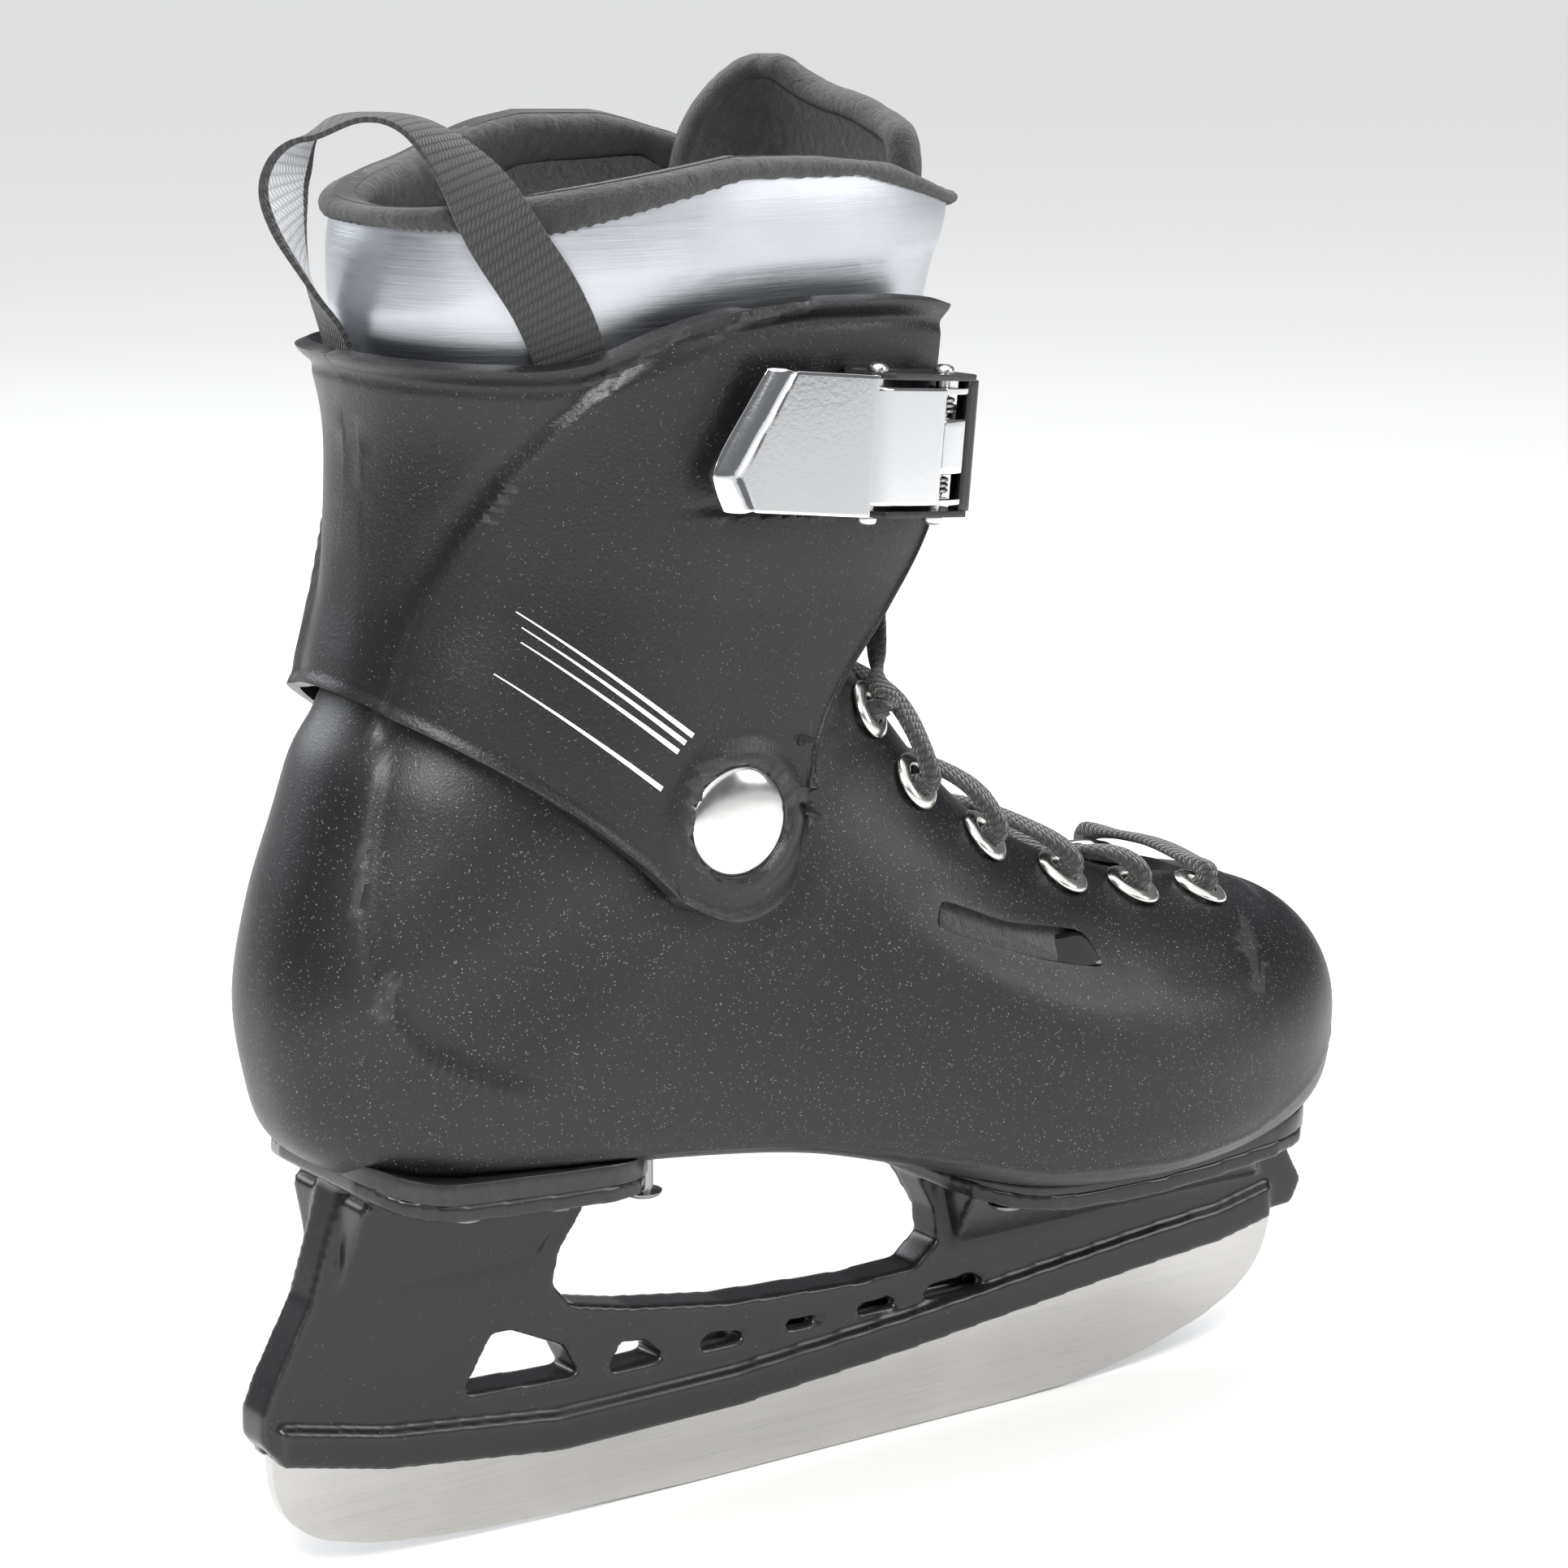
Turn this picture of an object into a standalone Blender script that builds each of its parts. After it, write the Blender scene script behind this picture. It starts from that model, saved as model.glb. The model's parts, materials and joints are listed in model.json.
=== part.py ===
"""Ice skate, right foot: a hinged hard boot on a riveted blade holder.

Metres, +Z up, +X towards the toe, +Y towards the inner side of the foot. The origin is where the runner
touches the ice, on its middle plane. The cuff turns about the pivot bolts, the buckle lever about its pin.
"""

import math

import bmesh
import bpy
import numpy as np
from mathutils import Matrix, Vector

MM = 0.001
OBJECT = "ice_skate"

# ---------------------------------------------------------------- driving dimensions
GAP = 0.3 * MM                 # between pieces that touch
SHELL_WALL = 3.0 * MM
CUFF_WALL = 3.2 * MM
CUFF_CLEARANCE = 1.2 * MM      # shell collar to the inside of the cuff, all through its travel
CUFF_BACK = math.radians(-4)   # cuff travel backwards and forwards
CUFF_FORWARD = math.radians(12)
LINER_DEPTH = 5.4 * MM         # outer face of the liner, below the outer face of the boot
LINER_SOLE_DEPTH = SHELL_WALL + 8.0 * MM       # the same under the foot, above the footbed
LINER_WALL = 4.5 * MM
TONGUE_WALL = 5.0 * MM
TONGUE_GAP = 2.0 * MM
FOOTBED_TOP = SHELL_WALL + 6.8 * MM            # above the boot's underside
FOOTBED_WALL = 2.4 * MM

PIVOT = Vector((-28 * MM, 0, 177 * MM))
PIVOT_SLEEVE_R = 4.5 * MM
PIVOT_HOLE_R = 5.0 * MM
PIVOT_CAP_R = 12.7 * MM

RUNNER_THICK = 3.2 * MM
RUNNER_TOP = 33 * MM
RUNNER_TOE_TOP = 35 * MM       # roof of the holder's slot at the toe
SLOT_CLEARANCE = 0.3 * MM

EYELETS = ((23.4, 25.9), (33.5, 31.0), (54.6, 30.2), (80, 28.5), (103, 27.5), (129, 22.5))   # mm, in plan
EYELET_R = 7.3 * MM
EYELET_HOLE_R = 4.9 * MM
EYELET_BORE_R = 3.7 * MM
EYELET_LIFT = 1.1 * MM         # flange above the shell, which curves away under it

RIVET_Y = 24 * MM
HEEL_RIVET_X = (-87, -63, -39)
TOE_RIVET_X = (68, 101, 130)
RIVET_SHANK_R = 2.5 * MM
RIVET_HEAD_R = 4.6 * MM
INNER_HEAD_R = 3.2 * MM
PLATE_THICK = 4.5 * MM

LACE_D = 3.4 * MM
WEBBING_W = 16 * MM
WEBBING_T = 1.5 * MM

# boot sections, toe to collar: top x, top z, bottom x, bottom z, half width, height share of the widest
# point, squareness of the top, squareness of the bottom, sideways shift (mm)
BOOT = np.array([
    (182, 101, 180, 86, 0.0, .50, 2.2, 2.6, 7),
    (180, 107, 178, 79, 17.0, .52, 2.2, 3.0, 7),
    (175, 117, 171, 74, 30.0, .55, 2.2, 3.6, 6),
    (165, 125.5, 159, 71, 40.5, .58, 2.2, 4.2, 5),
    (148, 131, 142, 69, 48.0, .60, 2.2, 4.6, 3),
    (126, 137.5, 120, 67, 52.5, .62, 2.2, 4.6, 1),
    (102, 144, 95, 66.5, 54.0, .62, 2.2, 4.6, 0),
    (80, 153, 66, 69, 53.0, .62, 2.1, 4.4, 0),
    (60, 166, 36, 78, 50.0, .60, 2.1, 4.2, 0),
    (45, 181, 3, 87, 46.5, .58, 2.2, 4.2, 0),
    (36, 192, -34, 91.5, 43.5, .56, 2.4, 4.0, 0),
    (31, 198, -72, 94, 42.0, .54, 2.6, 3.8, 0),
    (27, 202.5, -102, 97, 41.5, .50, 2.8, 3.2, 0),
    (25, 205.5, -118, 105, 41.0, .46, 2.8, 2.6, 0),
    (23, 208, -124, 119, 41.0, .42, 2.8, 2.4, 0),
    (21, 210, -126, 137, 41.5, .40, 2.8, 2.4, 0),
    (19, 211, -122, 158, 42.0, .40, 2.8, 2.3, 0),
    (17, 212, -115, 178, 42.0, .42, 2.8, 2.2, 0),
    (15, 213, -108, 197, 42.0, .45, 2.8, 2.2, 0),
    (14, 214, -101, 213, 42.0, .48, 2.8, 2.2, 0),
]) * np.array([MM, MM, MM, MM, MM, 1, 1, 1, MM])

# leg part of the liner above the shell, in the same columns
LEG = np.array([
    (17.5, 219.5, -101.5, 223, 42.2, .50, 3.0, 2.2, 0),
    (38, 256, -100, 254, 44.0, .52, 3.2, 2.3, 0),
    (43, 275, -100, 273, 45.8, .52, 3.2, 2.3, 0),
    (48, 293, -101, 291, 49.5, .52, 3.2, 2.3, 0),
    (52, 308, -101, 306, 52.0, .52, 3.2, 2.3, 0),
    (52, 322, -99, 320, 52.5, .52, 3.2, 2.3, 0),
    (49, 336, -95, 334, 51.0, .52, 3.2, 2.3, 0),
    (44, 352, -90, 348, 49.0, .52, 3.2, 2.3, 0),
]) * np.array([MM, MM, MM, MM, MM, 1, 1, 1, MM])

# cuff sections: height, front, rear, half width (mm)
CUFF = np.array([
    (140, 30, -118, 46.0),
    (177, 36, -112, 46.0),
    (195, 39, -109.5, 46.0),
    (209, 42, -107, 46.0),
    (230, 46, -101.5, 46.5),
    (250, 48, -99, 48.0),
    (268, 49, -99, 49.5),
    (288, 51, -104, 51.5),
    (300, 52, -108, 53.0),
]) * MM
CUFF_MIDDLE = 0.48             # widest point, as a share of the section's length from the rear
CUFF_SQUARENESS = (2.3, 3.2)   # of the section behind and before its widest point

# cuff lower edge, rear middle to the front edge's foot, round the pivot lobe; then front and upper edges
CUFF_LOWER_EDGE = [(-107, 209), (-103, 206), (-92, 199), (-77, 189), (-64, 179), (-51, 168), (-41, 159),
                   (-27, 153.5), (-14, 158), (-9, 170), (-8, 183), (-4, 196), (4, 208), (13, 218), (21, 229),
                   (27, 242)]
CUFF_UPPER_EDGE = [(-104, 284), (-101, 283.5), (-94, 283), (-84, 282.5), (-73, 282.5), (-62, 284.5), (-52, 288),
                   (-42, 291), (-32, 293), (-20, 294), (-8, 294), (2, 293.5), (11, 293), (19, 292), (25, 291),
                   (29, 290)]
CUFF_COLUMNS = 22              # per side
CUFF_ROWS = 6

# where the shell steps in under the cuff, rear to front (mm)
STEP_LINE = [(-150, 203), (-108, 197), (-99, 192), (-84, 184), (-70, 176), (-56, 165), (-45, 154), (-28, 147),
             (-12, 149), (-1, 160), (3, 176), (9, 191), (20, 206), (40, 222), (70, 240)]
STEP_WIDTH = 3.0 * MM


# ---------------------------------------------------------------- scene
for old in list(bpy.data.objects):
    bpy.data.objects.remove(old, do_unlink=True)
parts = bpy.data.collections.new(OBJECT)
cutters = bpy.data.collections.new("cutters")
for collection in (parts, cutters):
    bpy.context.scene.collection.children.link(collection)


def make_material(name, color, roughness, metallic=0.0):
    material = bpy.data.materials.new(name)
    material.use_nodes = True
    shader = material.node_tree.nodes["Principled BSDF"]
    shader.inputs["Base Color"].default_value = (*color, 1)
    shader.inputs["Roughness"].default_value = roughness
    shader.inputs["Metallic"].default_value = metallic
    return material


SHELL_PLASTIC = make_material("shell_plastic", (0.012, 0.012, 0.014), 0.42)
CUFF_PLASTIC = make_material("cuff_plastic", (0.012, 0.012, 0.014), 0.40)
HOLDER_PLASTIC = make_material("holder_plastic", (0.010, 0.010, 0.011), 0.35)
RUNNER_STEEL = make_material("runner_steel", (0.62, 0.61, 0.59), 0.38, 1.0)
NICKEL = make_material("nickel", (0.72, 0.70, 0.66), 0.25, 1.0)
CHROME = make_material("chrome", (0.80, 0.80, 0.82), 0.08, 1.0)
DARK_STEEL = make_material("dark_steel", (0.25, 0.25, 0.26), 0.35, 1.0)
BLACK_NYLON = make_material("black_nylon", (0.010, 0.010, 0.010), 0.30)
FLEECE = make_material("fleece", (0.013, 0.012, 0.013), 0.95)
LINER_FABRIC = make_material("liner_fabric", (0.40, 0.41, 0.43), 0.45)
KNIT = make_material("knit", (0.010, 0.010, 0.011), 0.9)
WEBBING = make_material("webbing", (0.010, 0.010, 0.011), 0.75)
BOARD = make_material("board", (0.05, 0.05, 0.05), 0.8)


# ---------------------------------------------------------------- lines and surfaces
def along(table, t):
    """Smooth values at the fractional rows t of a table (Catmull-Rom)."""
    table, t = np.asarray(table, float), np.clip(np.asarray(t, float), 0, len(table) - 1)
    i = np.minimum(t.astype(int), len(table) - 2)
    u = (t - i)[..., None]
    a, b, c, d = (table[np.clip(i + k, 0, len(table) - 1)] for k in (-1, 0, 1, 2))
    return 0.5 * (2 * b + (c - a) * u + (2 * a - 5 * b + 4 * c - d) * u ** 2 + (3 * b - a - 3 * c + d) * u ** 3)


def smooth_line(points, count):
    """Points spread evenly over the rows of a smooth line through the given ones."""
    return along(points, np.linspace(0, len(points) - 1, count))


def section_point(stations, t, angle):
    """A point of the boot's outer form: t runs along the stations, the angle round the section from its top,
    positive on the outer (-Y) side."""
    s = along(stations, t)
    top, bottom = s[..., 0:2], s[..., 2:4]
    width, widest, n_top, n_bottom, shift = (s[..., k] for k in range(4, 9))
    upper = np.cos(angle) >= 0
    power = np.where(upper, 2 / n_top, 2 / n_bottom)
    cosine = np.abs(np.cos(angle)) ** power
    side = np.abs(np.sin(angle)) ** power * np.sign(np.sin(angle))
    share = np.where(upper, widest * (1 - cosine), widest + (1 - widest) * cosine)
    line = top + (bottom - top) * share[..., None]
    return np.stack([line[..., 0], shift - side * np.maximum(width, 0), line[..., 1]], -1)


def cuff_section(z):
    """Front, rear and half width of the cuff's outer face at the heights z."""
    rows = np.interp(z, CUFF[:, 0], np.arange(len(CUFF)))
    table = along(CUFF, rows)
    return table[..., 1], table[..., 2], table[..., 3]


def cuff_half(x, z):
    """Middle, reach, half width and squareness of the half of the cuff's section that holds x."""
    front, rear, width = cuff_section(z)
    middle = rear + (front - rear) * CUFF_MIDDLE
    ahead = x > middle
    return middle, np.where(ahead, front - middle, middle - rear), width, np.where(ahead, *CUFF_SQUARENESS[::-1])


def cuff_level(points, inset):
    """Below 1 inside the cuff's outer face set in by inset, above 1 outside it."""
    x, y, z = (points[..., k] for k in range(3))
    middle, reach, width, n = cuff_half(x, z)
    return (np.abs((x - middle) / (reach - inset)) ** n + np.abs(y / (width - inset)) ** n) ** (1 / n)


def turned_about_pivot(points, angle):
    """Points turned about the cuff's hinge line; positive tips forwards."""
    x, z = points[..., 0] - PIVOT.x, points[..., 2] - PIVOT.z
    c, s = math.cos(angle), math.sin(angle)
    return np.stack([PIVOT.x + c * x + s * z, points[..., 1], PIVOT.z - s * x + c * z], -1)


def under_cuff(points, travel=1.0):
    """The points pulled in far enough to stay inside the cuff all through a share of its travel."""
    levels = [cuff_level(turned_about_pivot(points, -a * travel), CUFF_WALL + CUFF_CLEARANCE)
              for a in np.linspace(CUFF_BACK, CUFF_FORWARD, 9 if travel else 1)]
    scale = 1 / np.minimum(np.maximum.reduce(levels), 3)
    middle = cuff_half(points[..., 0], points[..., 2])[0]
    centre = np.stack([middle, 0 * middle, points[..., 2]], -1)
    return centre + (points - centre) * np.minimum(scale, 1)[..., None]


def above_step(points):
    """Signed distance above the line where the shell steps in under the cuff."""
    line = np.array(STEP_LINE) * MM
    best = np.full(points.shape[:-1], 1e9)
    sign = np.ones(points.shape[:-1])
    p = points[..., [0, 2]]
    for a, b in zip(line[:-1], line[1:]):
        edge = b - a
        u = np.clip(((p - a) @ edge) / (edge @ edge), 0, 1)
        offset = p - (a + u[..., None] * edge)
        distance = np.linalg.norm(offset, axis=-1)
        side = np.where(edge[0] * offset[..., 1] - edge[1] * offset[..., 0] >= 0, 1.0, -1.0)
        sign = np.where(distance < best, side, sign)
        best = np.minimum(best, distance)
    return best * sign


def outer_form(t, angle):
    """The boot's outer form before it steps in under the cuff."""
    return section_point(BOOT, t, angle)


def boot_face(t, angle):
    """The shell's outer face, with its step under the cuff."""
    full = section_point(BOOT, t, angle)
    share = np.clip(above_step(full) / STEP_WIDTH, 0, 1)
    share = (share * share * (3 - 2 * share))[..., None]
    return full + (under_cuff(full) - full) * share


def sock_face(t, angle):
    """The boot's outer face with the leg above it, which the liner and the tongue follow."""
    full = section_point(np.vstack([BOOT, LEG]), t, angle)
    share = np.clip(above_step(full) / (3 * STEP_WIDTH) + 0.67, 0, 1)
    fade = np.clip((300 * MM - full[..., 2]) / (25 * MM), 0, 1)
    soft = np.clip((full[..., 2] - 216 * MM) / (20 * MM), 0, 1)[..., None]
    held = under_cuff(full) * (1 - soft) + under_cuff(full, 0.0) * soft
    return full + (held - full) * (share * fade)[..., None]


def sunk(face, t, angle, depth):
    """Points at a depth below a face, and the face's outward normals."""
    step = 0.02
    t, angle = np.broadcast_arrays(np.asarray(t, float), np.asarray(angle, float))
    inner_t = np.clip(t, 4 * step, None)
    around = face(inner_t, angle + step) - face(inner_t, angle - step)
    along_t = face(inner_t + step, angle) - face(inner_t - step, angle)
    normal = np.cross(along_t, around)
    normal /= np.maximum(np.linalg.norm(normal, axis=-1, keepdims=True), 1e-12)
    return face(t, angle) - normal * np.asarray(depth)[..., None], normal


def find_on(face, goal, t_range, angle_range, axes=(0, 1)):
    """The (t, angle) within the ranges where a face passes the goal, seen in plan or along other axes."""
    for _ in range(6):
        ts, angles = np.meshgrid(np.linspace(*t_range, 31), np.linspace(*angle_range, 31), indexing="ij")
        miss = ((face(ts, angles)[..., axes] - goal) ** 2).sum(-1)
        k = np.unravel_index(np.argmin(miss), miss.shape)
        t, angle = ts[k], angles[k]
        t_reach, angle_reach = np.ptp(t_range) * 0.08, np.ptp(angle_range) * 0.08
        t_range, angle_range = (t - t_reach, t + t_reach), (angle - angle_reach, angle + angle_reach)
    return t, angle


# ---------------------------------------------------------------- objects
def link(name, mesh, material, collection=parts):
    item = bpy.data.objects.new(name, mesh)
    collection.objects.link(item)
    if material is not None:
        mesh.materials.append(material)
    return item


def hand_mesh(name, points, faces):
    """A mesh from computed points, with doubles merged and faces outward."""
    mesh = bpy.data.meshes.new(name)
    mesh.from_pydata([tuple(p) for p in points], [], faces)
    work = bmesh.new()
    work.from_mesh(mesh)
    bmesh.ops.remove_doubles(work, verts=work.verts, dist=0.02 * MM)
    bmesh.ops.dissolve_degenerate(work, edges=work.edges, dist=0.01 * MM)
    bmesh.ops.recalc_face_normals(work, faces=work.faces)
    work.to_mesh(mesh)
    work.free()
    return mesh


def grid_faces(rows, columns, closed=False):
    faces = []
    for r in range(rows - 1):
        for c in range(columns - (0 if closed else 1)):
            d = (c + 1) % columns
            faces.append((r * columns + c, r * columns + d, (r + 1) * columns + d, (r + 1) * columns + c))
    return faces


def open_surface(name, grid, material, wall, sharp=35, flip=True):
    """A wall of the given thickness on the inner side of a grid of points; flip turns its outer side round."""
    rows, columns = grid.shape[:2]
    mesh = bpy.data.meshes.new(name)
    mesh.from_pydata([tuple(p) for p in grid.reshape(-1, 3)], [], grid_faces(rows, columns))
    work = bmesh.new()
    work.from_mesh(mesh)
    bmesh.ops.remove_doubles(work, verts=work.verts, dist=0.02 * MM)
    bmesh.ops.dissolve_degenerate(work, edges=work.edges, dist=0.01 * MM)
    if flip:
        bmesh.ops.reverse_faces(work, faces=work.faces)
    work.to_mesh(mesh)
    work.free()
    item = link(name, mesh, material)
    solid = item.modifiers.new("wall", "SOLIDIFY")
    solid.thickness = wall
    solid.offset = -1
    shade(item, sharp)
    return item


def tube_rings(name, rings, material):
    """A closed loft through rings of points, with flat ends."""
    rows, columns = rings.shape[:2]
    faces = grid_faces(rows, columns, closed=True)
    faces += [tuple(range(columns)), tuple((rows - 1) * columns + c for c in reversed(range(columns)))]
    return link(name, hand_mesh(name, rings.reshape(-1, 3), faces), material)


def prism(name, outline, half_width, material, collection=parts, middle=0.0):
    """A flat outline of (x, z) points, extruded both ways along Y, as a mesh."""
    curve = bpy.data.curves.new(name, "CURVE")
    curve.dimensions = "2D"
    curve.fill_mode = "BOTH"
    curve.extrude = half_width
    spline = curve.splines.new("POLY")
    spline.points.add(len(outline) - 1)
    for point, (x, z) in zip(spline.points, outline):
        point.co = (x, z, 0, 1)
    spline.use_cyclic_u = True
    flat = bpy.data.objects.new(name + "_outline", curve)
    bpy.context.scene.collection.objects.link(flat)
    flat.rotation_euler = (math.pi / 2, 0, 0)
    flat.location.y = middle
    bpy.context.view_layer.update()
    mesh = bpy.data.meshes.new_from_object(flat.evaluated_get(bpy.context.evaluated_depsgraph_get()))
    matrix = flat.matrix_world.copy()
    bpy.data.objects.remove(flat)
    work = bmesh.new()
    work.from_mesh(mesh)
    bmesh.ops.remove_doubles(work, verts=work.verts, dist=0.001 * MM)
    bmesh.ops.recalc_face_normals(work, faces=work.faces)
    work.to_mesh(mesh)
    work.free()
    mesh.materials.clear()
    item = link(name, mesh, material, collection)
    item.matrix_world = matrix
    return item


def turned(name, profile, material, place=None, steps=16, collection=parts):
    """A turned piece about local Z from (radius, height) points, top to bottom down its outer side."""
    mesh = bpy.data.meshes.new(name)
    mesh.from_pydata([(r, 0, z) for r, z in profile], [(k, k + 1) for k in range(len(profile) - 1)], [])
    item = link(name, mesh, material, collection)
    screw = item.modifiers.new("turn", "SCREW")
    screw.steps = screw.render_steps = steps
    screw.use_merge_vertices = True
    screw.merge_threshold = 0.00001
    if place is not None:
        item.matrix_world = place
    return item


def facing(position, direction, turn=Vector((0, 0, 1))):
    """A placement with local Z along direction."""
    z = Vector(direction).normalized()
    x = Vector(turn).cross(z)
    x = x.normalized() if x.length > 1e-6 else Vector((1, 0, 0))
    y = z.cross(x)
    matrix = Matrix((x, y, z)).transposed().to_4x4()
    matrix.translation = Vector(position)
    return matrix


def cylinder_cutter(name, position, direction, radius, depth, sides=16):
    cutter = turned(name, [(0, depth / 2), (radius, depth / 2), (radius, -depth / 2), (0, -depth / 2)], None,
                    facing(position, direction), sides, cutters)
    return cutter


def carve(item, cutter, operation="DIFFERENCE"):
    cutter.hide_render = True
    cutter.display_type = "WIRE"
    boolean = item.modifiers.new(cutter.name, "BOOLEAN")
    boolean.operation = operation
    boolean.object = cutter


def shade(item, angle=35):
    item.data.shade_smooth()
    item.data.set_sharp_from_angle(angle=math.radians(angle))


# ---------------------------------------------------------------- lower shell
SHELL_COLUMNS = 25
THROAT_START = 4.7             # station where the throat opens
THROAT_HALF = [(4.7, 10), (5, 13), (5.6, 17), (6.6, 18.5), (7.8, 20), (9.4, 20.5), (10.4, 18.5), (11.3, 16.5),
               (13, 19), (15, 23), (17, 26), (19, 28)]   # station, half width of the throat (mm)


def throat_angle(t):
    """The section angle of the throat's edge at station t."""
    half = np.interp(t, [k for k, _ in THROAT_HALF], [w for _, w in THROAT_HALF]) * MM
    angles = np.linspace(0.02, 1.5, 300)
    reach = np.array([-section_point(BOOT, np.float64(t), a)[1] for a in angles])
    return float(np.interp(half, reach, angles))


def build_shell():
    closed_t = [0, 0.4, 1, 1.8, 2.8, 3.8, 4.5]
    open_t = [THROAT_START, 5.3, 6.2, 7.4, 8.6, 9.8, 11, 12, 12.8, 13.6, 14.8, 16, 17, 17.5, 18.2, 19]
    shares = np.linspace(0, 1, SHELL_COLUMNS)
    rows = []
    for t in closed_t + open_t:
        edge = throat_angle(t) if t >= THROAT_START else 0.0
        rows.append(boot_face(np.full(SHELL_COLUMNS, float(t)), edge + (2 * math.pi - 2 * edge) * shares))
    shell = open_surface("lower_shell", np.array(rows), SHELL_PLASTIC, SHELL_WALL)
    for side in (-1, 1):
        for k in range(len(EYELETS)):
            position, normal = eyelet_place(k, side)
            carve(shell, cylinder_cutter(f"eyelet_hole_{side}_{k}", position, normal, EYELET_HOLE_R, 14 * MM, 10))
        name = "outer" if side < 0 else "inner"
        window = prism(f"vent_window_{name}", [(x * MM, z * MM) for x, z in VENT_WINDOW], 14 * MM, None, cutters,
                       side * 44 * MM)
        carve(shell, window)
        carve(shell, cylinder_cutter(f"pivot_hole_shell_{name}", PIVOT + Vector((0, side * 40 * MM, 0)), (0, 1, 0),
                                     PIVOT_HOLE_R, 16 * MM))
    for x, y in rivet_spots():
        carve(shell, cylinder_cutter(f"rivet_hole_shell_{x:.3f}_{y:.3f}", (x, y, sole_height(x, y)), (0, 0, 1),
                                     RIVET_SHANK_R + GAP, 12 * MM, 8))
    return shell


VENT_WINDOW = [(33, 149), (30, 142.5), (62, 130), (80, 125.5), (77, 134.5), (52, 140.5)]


def eyelet_place(k, side):
    """Where an eyelet sits on the outer face and the face's normal there."""
    return on_boot(EYELETS[k][0] * MM, side * EYELETS[k][1] * MM)


def on_boot(x, y, height=0.0):
    """The point of the boot's top at x, y in plan, raised along the outward normal, and that normal."""
    angles = (0.0, 1.3) if y < 0 else (-1.3, 0.0)
    t, angle = find_on(outer_form, (x, y), (2.5, 14), angles)
    point, normal = sunk(outer_form, t, angle, -height)
    return Vector(point), Vector(normal)


def sole_height(x, y):
    """Height of the boot's underside at a point of the plan."""
    t, angle = find_on(outer_form, (x, -abs(y)), (0.5, 13.5), (2.0, math.pi))
    return float(outer_form(t, angle)[2])


def rivet_spots():
    return [(x * MM, side * RIVET_Y) for x in HEEL_RIVET_X + TOE_RIVET_X for side in (-1, 1)]


# ---------------------------------------------------------------- cuff
def cuff_face(x, z):
    """Half width of the cuff's outer face at a point of the side view."""
    middle, reach, width, n = cuff_half(x, z)
    return width * (1 - np.clip(np.abs((x - middle) / reach), 0, 1) ** n) ** (1 / n)


def cuff_angle(x, z):
    """How far round the section, from the rear, a point of the side view lies."""
    middle, reach, _, n = cuff_half(x, z)
    share = np.clip((middle - x) / reach, -1, 1)
    return np.arccos(np.sign(share) * np.abs(share) ** (n / 2))


def cuff_at(angle, z):
    """The cuff's outer face at an angle round the section, from the rear over the outer side."""
    cosine, sine = np.cos(angle), np.sin(angle)
    front, rear, _ = cuff_section(z)
    middle, reach, width, n = cuff_half(np.where(cosine < 0, front, rear), z)
    x = middle - reach * np.sign(cosine) * np.abs(cosine) ** (2 / n)
    return np.stack([x, -width * np.sign(sine) * np.abs(sine) ** (2 / n), z], -1)


def build_cuff():
    lower = smooth_line(np.array(CUFF_LOWER_EDGE) * MM, CUFF_COLUMNS + 1)
    upper = smooth_line(np.array(CUFF_UPPER_EDGE) * MM, CUFF_COLUMNS + 1)
    low_angle, high_angle = cuff_angle(lower[:, 0], lower[:, 1]), cuff_angle(upper[:, 0], upper[:, 1])
    low_angle[0] = high_angle[0] = 0
    share = np.linspace(0, 1, CUFF_ROWS)[:, None]
    angle = low_angle + (high_angle - low_angle) * share
    height = lower[:, 1] + (upper[:, 1] - lower[:, 1]) * share
    outer_side = cuff_at(angle, height)
    inner_side = outer_side[:, :0:-1] * np.array([1, -1, 1])
    cuff = open_surface("cuff", np.concatenate([inner_side, outer_side], 1), CUFF_PLASTIC, CUFF_WALL, flip=False)
    for side in (-1, 1):
        carve(cuff, cylinder_cutter(f"pivot_hole_cuff_{side}", PIVOT + Vector((0, side * 44 * MM, 0)), (0, 1, 0),
                                    PIVOT_HOLE_R, 16 * MM))
    return cuff




# ---------------------------------------------------------------- runner and holder
# lower edge of the steel, heel to toe, with its flat ice contact in the middle (mm)
RUNNER_HEEL = [(-126, 32), (-125.6, 25), (-124, 19.5), (-122, 16), (-118, 12), (-113, 9), (-106, 6.8), (-100, 5.2),
               (-87, 3.3), (-73, 2.0), (-60, 1.4), (-46, 0.9), (-32, 0.45)]
RUNNER_FLAT = (-10, 90)        # where the steel rests on the ice
RUNNER_TOE = [(102, 0.4), (110, 1.0), (118, 2.0), (126, 3.3), (134.5, 5.0), (143, 7.4), (151, 9.8), (156, 12.1),
              (161, 14.5), (166, 18.3), (168.5, 21), (171, 24.8), (173, 30.5), (173.2, 33.5)]
HOLDER_SKIRT = [(-126, 31), (-98, 24.5), (-50, 18.5), (0, 19), (50, 22.5), (98, 27), (125, 29.5), (152, 31.5), (169, 35)]
SKIRT_HALF = 7.5 * MM
WEB_HALF = 5.5 * MM
HOLDER_REAR = [(-98, 26), (-127, 33), (-130, 37), (-130, 43), (-127, 50), (-117, 68)]
HOLDER_ARCH = [(-44, 76), (-50, 68), (-52, 60), (-47, 54), (-30, 50), (-2, 45.5), (37, 43), (54, 43.5), (61, 49),
               (60, 57)]
HOLDER_FRONT = [(173, 58), (181, 43), (178, 37), (170.5, 36.2), (125, 31.2), (98, 28.6), (50, 24.2), (0, 20.6),
                (-50, 20.2)]
HEEL_WEB = (-108, -38)         # where the web meets the heel plate, and the toe plate
TOE_WEB = (53, 166)
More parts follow.
